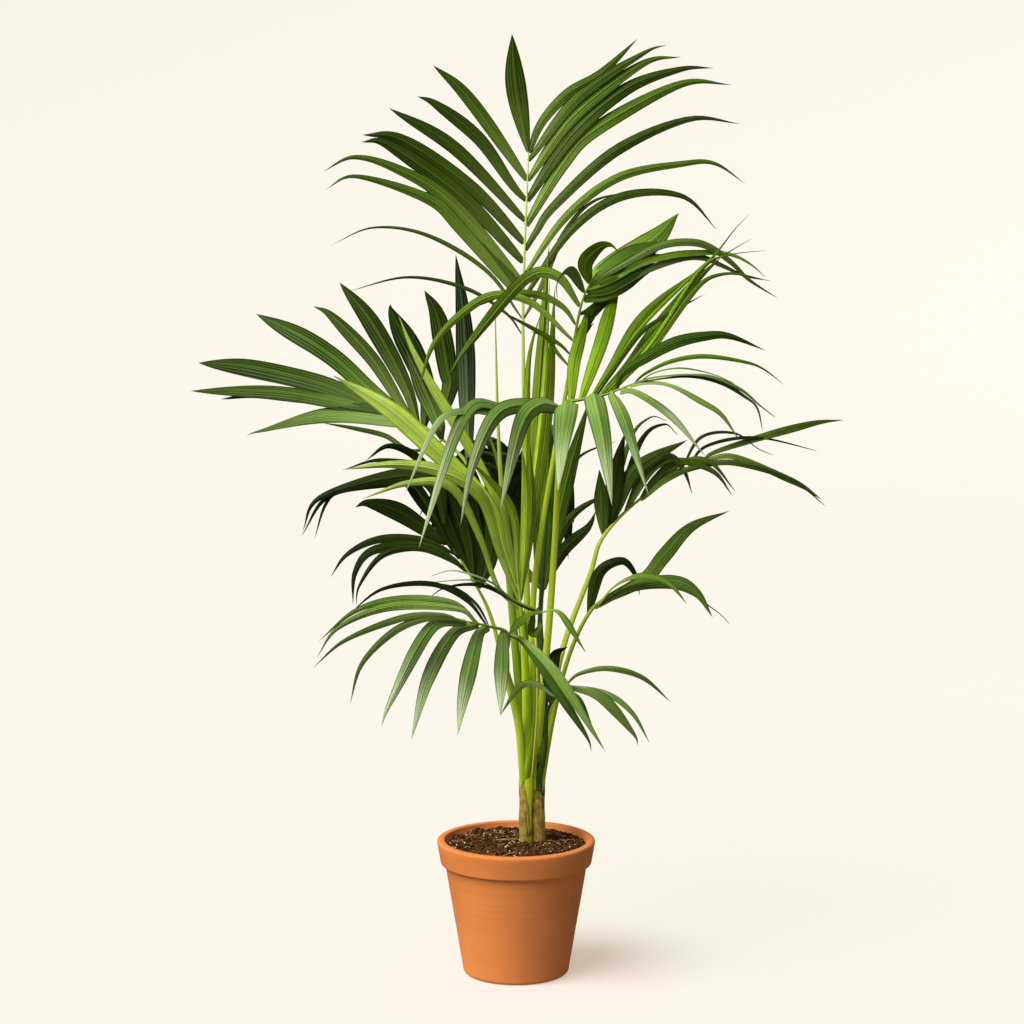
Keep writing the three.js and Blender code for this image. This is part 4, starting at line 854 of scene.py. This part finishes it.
# How far a blade is folded at its foot, how fast that ends, and how far its edges sway.
FOOT_FOLD, FOOT_FADE, EDGE_SWAY = 0.6, 14, 0.09
STALK_RADII = [4.4, 4.2, 3.7, 3.3, 3.0, 2.7, 2.1, 1.6, 0.9]
STALK_STEPS, STALK_SIDES, STALK_GROOVE = 72, 14, 0.22
# A stalk's two points inside the sheaths: how far they lie below its first one, and what share of the
# way from there to the stem's middle they lie in.
ROOT_DEPTHS, ROOT_INWARD = (94, 40), 0.55


def outline(t, base, widest, sharp):
    """A blade's width along its length, as a share of its full width."""
    rise = base + (1 - base) * np.sin(np.clip(t / widest, 0, 1) * math.pi / 2)
    fall = 1 - np.clip((t - widest) / (1 - widest), 0, 1) ** sharp
    return np.where(t > widest, fall, rise)


def cross_sections(t, half, fold, rng):
    """A folded and pleated blade: for each point its way out from the midrib and its lift, and the ridge."""
    u = np.linspace(-1, 1, LEAF_COLUMNS + 1)
    angle = FOOT_FOLD * np.exp(-t * FOOT_FADE) + fold * (1 + 0.4 * np.sin(t * 5 + rng.uniform(0, 6)))
    reach = half[:, None] * u
    phase = rng.uniform(0, 6.28, 2)
    sway = np.where(u < 0, np.sin(t[:, None] * 9 + phase[0]), np.sin(t[:, None] * 9 + phase[1]))
    pleat = PLEAT * np.minimum(half / PLEATED_FROM, 1)[:, None] * (-1.0) ** np.arange(LEAF_COLUMNS + 1)
    lift = -np.abs(reach) * np.sin(angle)[:, None] + pleat * (1 - u**2)
    lift = lift + sway * u**2 * half[:, None] * EDGE_SWAY
    thick = BLADE * np.sqrt(np.clip(1 - u**2, 0, 1)) * np.ones_like(reach)
    ridge = np.exp(-(reach**2) / RIB_SPREAD) * (1 - 0.7 * t[:, None])
    return reach * np.cos(angle)[:, None], lift, thick, ridge


def leaflet(patches, path, across, width, form, slot, rng, wild, fold, twist):
    """One leaflet: a thin blade, folded along its midrib and pleated along its veins."""
    steps = np.linalg.norm(np.diff(path, axis=0), axis=1)
    length = steps.sum()
    t = np.concatenate([[0], np.cumsum(steps)]) / length
    tangents, sideways = carried(path, across)
    bow = rng.normal(0, 0.012) * length * wild
    path = path + sideways * (bow * np.sin(math.pi * t))[:, None]
    turn = math.radians(twist) * t + rng.normal(0, 0.1) * wild * np.sin(math.pi * t)
    sideways = sideways * np.cos(turn)[:, None] + np.cross(tangents, sideways) * np.sin(turn)[:, None]
    normals = np.cross(tangents, sideways)
    half = width / 2 * outline(t, *form)
    out, lift, thick, ridge = (part[:, :, None] for part in cross_sections(t, half, fold, rng))
    middle = path[:, None] + sideways[:, None] * out + normals[:, None] * lift
    top = middle + normals[:, None] * (thick + RIB_ABOVE * ridge)
    low = middle - normals[:, None] * (thick + RIB_BELOW * ridge)
    ids = patches.add_points(top[:LEAF_STEPS]).reshape(LEAF_STEPS, -1)
    low_ids = ids.copy()
    low_ids[:, 1:-1] = patches.add_points(low[:LEAF_STEPS, 1:-1]).reshape(LEAF_STEPS, -1)
    foot = patches.add_points(path[0] - tangents[0] * 1.5)
    tip = patches.add_points(path[-1])
    foot, tip = (np.repeat(end, LEAF_COLUMNS + 1) for end in (foot, tip))
    v = np.concatenate([[0], t[:LEAF_STEPS], [1]])
    # The whole part of u differs from leaflet to leaflet, and so do the streaks.
    u = patches.islands + np.linspace(0, 1, LEAF_COLUMNS + 1)
    patches.grid(np.vstack([foot, ids, tip]), slot, True, u=u, v=v)
    patches.grid(np.vstack([foot, low_ids, tip]), slot + 1, False, u=u, v=v)


def stalk_radius(frond, t):
    """A stalk tapers towards its tip. A stout one is thicker low down."""
    stout = 1 + (frond.get("stout", 1.0) - 1) * (1 - smooth(0.35, 0.75, t))
    return along(STALK_RADII, t) * stout


def sprung_path(start, line, share, rng):
    """The course of one leaflet of a row: it rises from the rib and arches over to its tip."""
    tip = curve_at(line["tips"], share) + rng.normal(0, 6, 3) * line["wild"]
    chord = tip - start
    rise = np.linalg.norm(chord) * along(line["arch"], share) * (1 + 0.15 * line["wild"] * rng.normal())
    controls = (start, start + 0.3 * chord + UP * rise, start + 0.72 * chord + UP * rise, tip)
    return bezier(controls, np.linspace(0, 1, LEAF_STEPS + 1))


def frond_leaves(name, frond, seed):
    """All leaflets of a frond as one piece."""
    rng = np.random.default_rng(seed)
    patches = Patches()
    palettes = list(dict.fromkeys(line["palette"] or frond["palette"] for line in frond["rows"]))
    for line in frond["rows"]:
        first = palettes.index(line["palette"] or frond["palette"]) * 2 * len(TONES)
        face = np.array(line["face"] or frond["face"], float)
        for k in range(line["count"]):
            share = k / max(line["count"] - 1, 1)
            t = line["at"] if line["course"] else frond["leaf_from"] + (1 - frond["leaf_from"]) * share
            rib, tangent = curve_at(frond["stalk"], t), tangent_at(frond["stalk"], t)
            sideways = unit(np.cross(tangent, np.array(frond["face"], float))) * line["side"]
            start = rib + sideways * stalk_radius(frond, t) * 0.6
            if line["course"]:
                points = [start, *line["course"]]
                path = np.array([curve_at(points, s) for s in np.linspace(0, 1, LEAF_STEPS + 1)])
            else:
                path = sprung_path(start, line, share, rng)
            across = unit(np.cross(face, path[2] - path[0]))
            width = along(line["width"], share) * (1 + 0.06 * line["wild"] * rng.normal())
            slot = first + 2 * int(rng.integers(len(TONES)))
            twist = rng.normal() * 6 * line["wild"]
            leaflet(patches, path, across, width, (line["base"], line["widest"], line["sharp"]), slot, rng,
                    line["wild"], frond.get("fold", 0.25), twist)
    piece = patches.build(f"{name}_leaves", [m for palette in palettes for m in leaf_materials(palette)])
    place(piece, SLOT_OF[frond["palette"]], f"{name}_left", f"{name}_right")


def frond_stalk(name, frond, material):
    """The stalk and rib as one limb, which starts inside the stem's sheaths."""
    t = np.linspace(0, 1, STALK_STEPS)
    path = np.array([curve_at(frond["stalk"], x) for x in t])
    centres = [np.array([*sizes["centre"], path[0][2]]) for sizes in STEMS.values()]
    inward = (min(centres, key=lambda c: np.linalg.norm(c - path[0])) - path[0]) * ROOT_INWARD
    root = path[0] + inward - UP * [[depth] for depth in ROOT_DEPTHS]
    radii = [stalk_radius(frond, x) for x in (0, 0, *t)]
    face = np.array(frond["face"], float)
    patches = Patches()
    tube(patches, np.vstack([root, path]), radii, sides=STALK_SIDES, across=face - face @ UP * UP * 0.5,
         groove=STALK_GROOVE)
    nodes = [f"{name}_stalk"] + ([f"{name}_rib"] if frond.get("split") else [])
    place(patches.build(f"{name}_petiole", [material]), "stalk", *nodes)


# Each stalk's colour low down and at its end. Partly painted light: dark stalks stand in for the shade
# between stalks, and bright ones carry painted highlights.
STALK_COLOURS = {
    "crown": ((172, 198, 58), (170, 194, 100)), "arching": ((194, 220, 54), (92, 120, 28)),
    "near": ((190, 214, 56), (60, 88, 24)), "young": ((180, 208, 42), (172, 202, 40)),
    "left_fan": ((112, 140, 12), (118, 140, 54)), "low_left": ((180, 202, 58), (84, 108, 26)),
    "front_left": ((178, 204, 50), (110, 138, 54)), "small_front": ((120, 150, 20), (96, 124, 36)),
    "low_right": ((58, 90, 12), (48, 76, 14)), "right": ((192, 212, 60), (164, 188, 58)),
    "lower_right": ((172, 196, 50), (96, 122, 36)), "mid_back": ((52, 78, 6), (44, 70, 8)),
    "back_left": ((66, 92, 8), (78, 104, 22)), "back_right": ((52, 78, 6), (72, 98, 22)),
    "spear": ((118, 146, 18), (184, 202, 100)),
}
for number, (name, frond) in enumerate(FRONDS.items()):
    low, high = (srgb(*c) for c in STALK_COLOURS[name])
    # The lighter streak colour is partly a painted highlight.
    frond_stalk(name, frond, stalk_material(f"stalk_{name}", low, high, shade(low, 1.5)))
    if frond["rows"]:
        frond_leaves(name, frond, 100 + number)

# The pale rolled edge of a sheath, with a painted highlight along it, which stands out in front of the
# stalks.
EDGE_COURSE = [(18.1, -60, 534), (24.5, -60, 520), (28.1, -58, 499), (29.6, -54, 468),
               (30.4, -46, 426), (29.1, -34, 377), (25.7, -22, 331), (22.9, -12, 295)]
EDGE_AND_HIGHLIGHT_COLOURS = srgb(246, 240, 120), srgb(206, 214, 70), srgb(250, 248, 170)
shares = np.linspace(0, 1, 40)
radii = np.interp(shares, [0, 0.1, 0.6, 1], [0.7, 1.9, 1.7, 1.0])
patches = Patches()
tube(patches, [curve_at(EDGE_COURSE, t) for t in shares], radii, sides=8)
place(patches.build("sheath_edge_and_highlight", [stalk_material("sheath_edge_and_highlight", *EDGE_AND_HIGHLIGHT_COLOURS)]), "stalk")

# ---- stems ----

SHEATH_SIDES, SHEATH_STEPS, SHEATH_WALL, SHEATH_FOOT = 40, 26, 0.9, 168
STEM_SPAN, STEM_STEPS = (165, 290), 24
# A sheath's radius from its foot to its mouth, as shares of its own.
SHEATH_TAPER = (1.04, 1, 0.97, 0.95)


def sheath(patches, centre, radius, height, notch, notch_angle, slot, rng):
    """A sheath round a stem: a thin tube with a slanting, ragged mouth that opens to one side."""
    angles = full_turn(SHEATH_SIDES)
    away = np.abs((angles - notch_angle + math.pi) % (2 * math.pi) - math.pi)
    top = height - notch * np.exp(-((away / 0.75) ** 2)) + rng.normal(0, 0.8, SHEATH_SIDES)
    share = np.linspace(0, 1, SHEATH_STEPS)
    z = SHEATH_FOOT + (top - SHEATH_FOOT) * share[:, None]
    ribs = 0.25 * np.cos(angles * 13 + 1.3) + 0.18 * np.cos(angles * 29)
    taper = np.interp(share, np.linspace(0, 1, len(SHEATH_TAPER)), [radius * part for part in SHEATH_TAPER])
    flare = 1.2 * smooth(0.85, 1, share)[:, None] * (0.4 + np.exp(-((away / 0.9) ** 2)))
    outer = taper[:, None] + ribs + flare + 0.5 * np.sin(share * 17)[:, None]
    x, y = np.cos(angles), np.sin(angles)
    walls = [np.stack([centre[0] + reach * x, centre[1] + reach * y, z - drop], 2)
             for reach, drop in ((outer, 0), (outer - SHEATH_WALL, 0.4))]
    ids = patches.add_points(np.vstack([walls[0], walls[1][::-1]])).reshape(2 * SHEATH_STEPS, SHEATH_SIDES)
    ids = np.vstack([ids, ids[:1]])
    patches.grid(np.hstack([ids, ids[:, :1]]), slot)


# Base, dark patches, light streaks and flecks of each kind of sheath.
SHEATH_COLOURS = {
    "sheath_brown": ((170, 146, 52), (112, 90, 28), (200, 180, 92), (226, 222, 196)),
    "sheath_green": ((144, 168, 34), (92, 118, 22), (186, 200, 72), (220, 224, 180)),
    "sheath_dark": ((40, 70, 20), (24, 44, 12), (82, 108, 42), (214, 220, 190)),
}
sheath_materials = [sheath_material(name, *(srgb(*c) for c in colours))
                    for name, colours in SHEATH_COLOURS.items()]
# Each sheath: how far out it stands, its mouth's height, its notch's depth and angle, its material.
SHEATHS = {
    "stem_front_left": [(0.94, 352, 34, -1.2, 1), (1.0, 322, 26, 2.6, 1), (1.16, 296, 84, -0.75, 0)],
    "stem_right": [(0.9, 346, 40, -2.2, 1), (0.98, 312, 30, 0.4, 2), (1.1, 270, 76, 0.05, 0)],
    "stem_back": [(0.92, 352, 30, 1.6, 2), (1.0, 318, 34, -0.4, 2), (1.08, 284, 28, 2.4, 0)],
}
for number, (name, sizes) in enumerate(STEMS.items()):
    rng = np.random.default_rng(40 + number)
    patches = Patches()
    core = [(*sizes["centre"], z) for z in np.linspace(*STEM_SPAN, STEM_STEPS)]
    tube(patches, core, sizes["radius"] * np.linspace(0.9, 0.8, STEM_STEPS), slot=1, sides=24)
    for scale, height, notch, angle, slot in SHEATHS[name]:
        sheath(patches, sizes["centre"], sizes["radius"] * scale, height, notch, angle, slot, rng)
    place(patches.build(f"{name}_sheaths", sheath_materials), "stem", name)

# ---- pot ----

POT_SIDES = 192
POT_STEP = 9.0
UNDERSIDE_RING = 30
NECK_FILLET = 3.2
COLLAR_ROUND = 2.5
INNER_ROUND = RIM_ROUND / 2
COLLAR_FOOT_Z = POT_HEIGHT - COLLAR_HEIGHT
INNER_RIM_RADIUS = RIM_RADIUS - WALL - 1


def corner(r, z, radius, start, end, steps):
    angles = np.radians(np.linspace(start, end, steps + 1))
    return [(r + radius * math.cos(a), z + radius * math.sin(a)) for a in angles]


def spaced(profile, step):
    """A profile with points added so that none is further from the next than step."""
    out = [profile[0]]
    for a, b in zip(profile, profile[1:]):
        count = max(1, math.ceil(math.dist(a, b) / step))
        out += [tuple(np.array(a) + (np.array(b) - a) * k / count) for k in range(1, count + 1)]
    return out


pot_profile = [
    (0, 0), (UNDERSIDE_RING, 0),
    *corner(BASE_RADIUS - BASE_ROUND, BASE_ROUND, BASE_ROUND, -90, 0, 8),
    (NECK_RADIUS - 0.6, COLLAR_FOOT_Z - 6),
    *corner(NECK_RADIUS + NECK_FILLET, COLLAR_FOOT_Z - 3.4, NECK_FILLET, 180, 90, 5),
    *corner(COLLAR_FOOT_RADIUS - COLLAR_ROUND, COLLAR_FOOT_Z + COLLAR_ROUND, COLLAR_ROUND, -90, 0, 5),
    *corner(RIM_RADIUS - RIM_ROUND, POT_HEIGHT - RIM_ROUND, RIM_ROUND, 0, 90, 7),
    *corner(INNER_RIM_RADIUS + INNER_ROUND, POT_HEIGHT - INNER_ROUND, INNER_ROUND, 90, 180, 5),
    (NECK_RADIUS - WALL, COLLAR_FOOT_Z), (BASE_RADIUS - WALL, FLOOR), (0, FLOOR),
]


def uneven(points, r, z):
    """Makes a ring of the pot slightly out of round, except on its flat underside."""
    if z >= 1 and r >= 1:
        wobble = np.array([noise.noise(Vector(p * 0.02)) for p in points])
        points[:, :2] *= (1 + 0.25 * wobble / max(r, 20))[:, None]
    return points


def drain(pot, angle):
    """Cuts a drain hole through the floor of the pot."""
    mesh = bpy.data.meshes.new("drain_cutter")
    form = bmesh.new()
    bmesh.ops.create_cone(form, cap_ends=True, segments=32, depth=4 * FLOOR * MM,
                          radius1=DRAIN_RADIUS * MM, radius2=DRAIN_RADIUS * MM)
    form.to_mesh(mesh)
    form.free()
    cutter = add_object("drain_cutter", mesh)
    cutter.location = (DRAIN_RING * MM * math.cos(angle), DRAIN_RING * MM * math.sin(angle), 0)
    cut = pot.modifiers.new("drain", "BOOLEAN")
    cut.object, cut.solver, cut.operation = cutter, "EXACT", "DIFFERENCE"
    bpy.context.view_layer.update()
    cut_mesh = bpy.data.meshes.new_from_object(pot.evaluated_get(bpy.context.evaluated_depsgraph_get()))
    pot.modifiers.clear()
    pot.data = cut_mesh
    bpy.data.objects.remove(cutter)


patches = Patches()
closed_skin(patches, [uneven(ring(r, z, POT_SIDES), r, z) for r, z in spaced(pot_profile, POT_STEP)[1:-1]])
pot = patches.build("terracotta_pot", [clay_material()], 40)
for angle in full_turn(DRAIN_COUNT):
    drain(pot, angle)
place(pot, "terracotta", "pot")

# ---- soil ----

SOIL_SIDES, SOIL_STEPS = 200, 64
# How far from the middle things lie on the soil, and how flat its lumps are.
SOIL_REACH, FLATNESS = 101, 0.75
FIBRE_COUNT, FIBRE_STEPS = 46, 9


def soil_height(x, y):
    """Height of the soil's uneven surface."""
    base = SOIL_CROWN_Z - (SOIL_CROWN_Z - SOIL_EDGE_Z) * smooth(20, 105, math.hypot(x, y))
    lumps = noise.noise(Vector((x * 0.045, y * 0.045, 3.1))) * 3.2
    crumbs = noise.noise(Vector((x * 0.16, y * 0.16, 7.7))) * 1.6
    heap = 2.5 * math.exp(-((math.hypot(x - 22, y - 8) / 34) ** 2))
    return float(base + lumps + crumbs + heap)


neck_wall = NECK_RADIUS - WALL
edge = neck_wall + (INNER_RIM_RADIUS - neck_wall) * (SOIL_EDGE_Z - COLLAR_FOOT_Z) / COLLAR_HEIGHT - 0.7
soil_profile = [(BASE_RADIUS - WALL - 0.4, FLOOR + 0.3), (neck_wall - 0.5, COLLAR_FOOT_Z), (edge, 176)]
rings = [ring(r, z, SOIL_SIDES) for r, z in soil_profile]
for r in np.linspace(edge, 1.5, SOIL_STEPS):
    rings.append(ring(r, [soil_height(x, y) for x, y, _ in ring(r, 0, SOIL_SIDES)], SOIL_SIDES))
patches = Patches()
closed_skin(patches, rings)
place(patches.build("potting_soil", [soil_material()], 60), "soil", "soil")


def spot(rng, reach):
    """A random place on the soil."""
    r, a = reach * math.sqrt(rng.uniform()), rng.uniform(0, 2 * math.pi)
    return r * math.cos(a), r * math.sin(a)


def ball():
    """Points and faces of a ball of 20 faces."""
    form = bmesh.new()
    bmesh.ops.create_icosphere(form, subdivisions=1, radius=1.0)
    points = np.array([v.co for v in form.verts])
    faces = [[v.index for v in f.verts] for f in form.faces]
    form.free()
    return points, faces


def scattered(name, count, sizes, materials, seed, rough, sunk):
    """Lumps strewn over the soil, joined into one mesh. A lump is dented by rough and lies in by sunk."""
    rng = np.random.default_rng(seed)
    points, faces = ball()
    all_points, all_faces, slots = [], [], []
    for _ in range(count):
        x, y = spot(rng, SOIL_REACH)
        size = sizes[0] * (sizes[1] / sizes[0]) ** rng.uniform()
        shift = rng.uniform(0, 50, 3)
        dent = np.array([noise.noise(Vector(p * 1.3 + shift)) for p in points])
        lump = points * (1 + rough * 2 * dent)[:, None] * size * rng.uniform(0.7, 1.2, 3) * (1, 1, FLATNESS)
        turn = rng.uniform(0, 2 * math.pi)
        c, s = math.cos(turn), math.sin(turn)
        lump = lump @ np.array(((c, s, 0), (-s, c, 0), (0, 0, 1)))
        lump += (x, y, soil_height(x, y) + size * FLATNESS * (1 - 2 * sunk) * 0.5)
        offset = len(points) * len(all_points)
        all_faces += [[i + offset for i in f] for f in faces]
        slots += [int(rng.integers(len(materials)))] * len(faces)
        all_points.append(lump)
    place(add_object(name, mesh_of(name, all_points, all_faces, materials, slots)), "soil")


def fibre(patches, rng):
    """A loose bent fibre, which lies on the soil with its middle raised."""
    x, y = spot(rng, SOIL_REACH - 3)
    heading, length = rng.uniform(0, 2 * math.pi), rng.uniform(6, 20)
    path = []
    for s in np.linspace(-0.5, 0.5, FIBRE_STEPS):
        heading += rng.normal(0, 0.12)
        px, py = x + s * length * math.cos(heading), y + s * length * math.sin(heading)
        inside = min(1, SOIL_REACH / math.hypot(px, py))
        px, py = px * inside, py * inside
        path.append((px, py, soil_height(px, py) + 1.6 + 1.2 * math.sin((s + 0.5) * math.pi)))
    tube(patches, path, np.full(FIBRE_STEPS, rng.uniform(0.22, 0.45)), sides=5)


CRUMB_COLOURS = (62, 36, 12), (80, 50, 22), (100, 67, 33), (44, 24, 8)
crumb_materials = [grain_material(f"soil_crumb_{k}", srgb(*c), 0.95) for k, c in enumerate(CRUMB_COLOURS)]
scattered("soil_crumbs", 1500, (0.6, 3.8), crumb_materials, 11, rough=0.45, sunk=0.2)
perlite_material = grain_material("perlite_white", srgb(240, 232, 216), 0.8)
scattered("perlite", 120, (0.6, 1.7), [perlite_material], 12, rough=0.3, sunk=0.0)
rng = np.random.default_rng(13)
patches = Patches()
for _ in range(FIBRE_COUNT):
    fibre(patches, rng)
place(patches.build("soil_fibres", [grain_material("fibre", srgb(196, 164, 112), 0.85)]), "soil")

# ---- studio ----

CAMERA_AT = (-6, -3800, 1150)
CAMERA_DOWN = 7.1
CAMERA_LENS, CAMERA_SENSOR = 93.94, 36
CAMERA_END = 60
# The paper reflects and glows in these colours near the pot and away from it. It changes between the
# two distances, in metres.
NEAR_ALBEDO, FAR_ALBEDO = (0.34, 0.327, 0.345, 1), (0.11, 0.1, 0.09, 1)
NEAR_GLOW, FAR_GLOW = (0.515, 0.43, 0.335, 1), (0.815, 0.782, 0.706, 1)
PAPER_SPAN = (0.1, 0.36)
# Its glow as it lights the plant, and as the camera sees it.
PAPER_BOUNCE, PAPER_SHOWN = 0.12, 1.0
# The bowl's flat floor, the bend into its wall, and its rim, all in millimetres.
BOWL_SIDES = 96
BOWL_FLOOR, BOWL_BEND, BOWL_RIM = (500, 2000, 4000, 5500), 3000, (8500, 6500)
WORLD_COLOUR, WORLD_STRENGTH = (1.0, 0.97, 0.92, 1), 0.23
KEY_STRENGTH, KEY_SPREAD, KEY_COLOUR, KEY_WAY = 5.5, 50, (1.0, 0.975, 0.93), (0.58, 0.45, -0.8)

camera_data = bpy.data.cameras.new("camera")
camera_data.lens = CAMERA_LENS
camera_data.sensor_width = CAMERA_SENSOR
camera_data.clip_end = CAMERA_END
camera = add_object("camera", camera_data)
camera.location = [c * MM for c in CAMERA_AT]
camera.rotation_euler = (math.radians(90 - CAMERA_DOWN), 0, 0)
bpy.context.scene.camera = camera


def paper_material():
    """Evenly lit paper, whose shadow fades away from the pot. It lights the plant less than it shows."""
    skin = Skin("studio_paper", None)
    distance = skin.node("VectorMath", "Value", dict(operation="LENGTH"), _0=skin.coordinates())
    away = skin.ranged(distance, PAPER_SPAN)
    skin.tint = skin.mixed(away, NEAR_ALBEDO, FAR_ALBEDO)
    seen = skin.node("LightPath", "Is Camera Ray")
    skin.put(skin.shader, Emission_Color=skin.mixed(away, NEAR_GLOW, FAR_GLOW),
             Emission_Strength=skin.ranged(seen, (0.0, 1.0), (PAPER_BOUNCE, PAPER_SHOWN)))
    return skin.done(1.0, 0.0)


# A pale bowl: the floor runs up into the backdrop all round.
bend = [(BOWL_FLOOR[-1] + BOWL_BEND * math.sin(a), BOWL_BEND - BOWL_BEND * math.cos(a))
        for a in np.radians(np.linspace(9, 90, 10))]
bowl = [(r, 0) for r in BOWL_FLOOR] + bend + [BOWL_RIM]
patches = Patches()
ids = patches.add_points([ring(r, z, BOWL_SIDES) for r, z in bowl]).reshape(len(bowl), BOWL_SIDES)
ids = np.vstack([np.repeat(patches.add_points((0, 0, 0)), BOWL_SIDES), ids])
patches.grid(np.hstack([ids, ids[:, :1]]), 0, True)
floor = patches.build("studio_bowl", [paper_material()])
floor.visible_shadow = False

world = bpy.data.worlds.new("studio_light")
world.use_nodes = True
world.node_tree.nodes["Background"].inputs["Color"].default_value = WORLD_COLOUR
world.node_tree.nodes["Background"].inputs["Strength"].default_value = WORLD_STRENGTH
bpy.context.scene.world = world


def facing(way):
    return Vector(way).to_track_quat("-Z", "Y").to_euler()


def softbox(name, at, aim, size, power):
    data = bpy.data.lights.new(name, "AREA")
    data.shape, data.size, data.size_y = "RECTANGLE", size[0], size[1]
    data.energy = power
    light = add_object(name, data)
    light.location = at
    light.rotation_euler = facing(Vector(aim) - Vector(at))


key_data = bpy.data.lights.new("key", "SUN")
key_data.energy, key_data.angle, key_data.color = KEY_STRENGTH, math.radians(KEY_SPREAD), KEY_COLOUR
add_object("key", key_data).rotation_euler = facing(KEY_WAY)
softbox("front", (0.6, -4.2, 1.9), (0, 0, 0.6), (2.0, 1.6), 10)
softbox("rim", (1.6, 2.6, 2.6), (0, 0, 0.8), (1.2, 1.2), 12)

bpy.context.scene.view_settings.view_transform = "Standard"
bpy.context.scene.view_settings.look = "None"
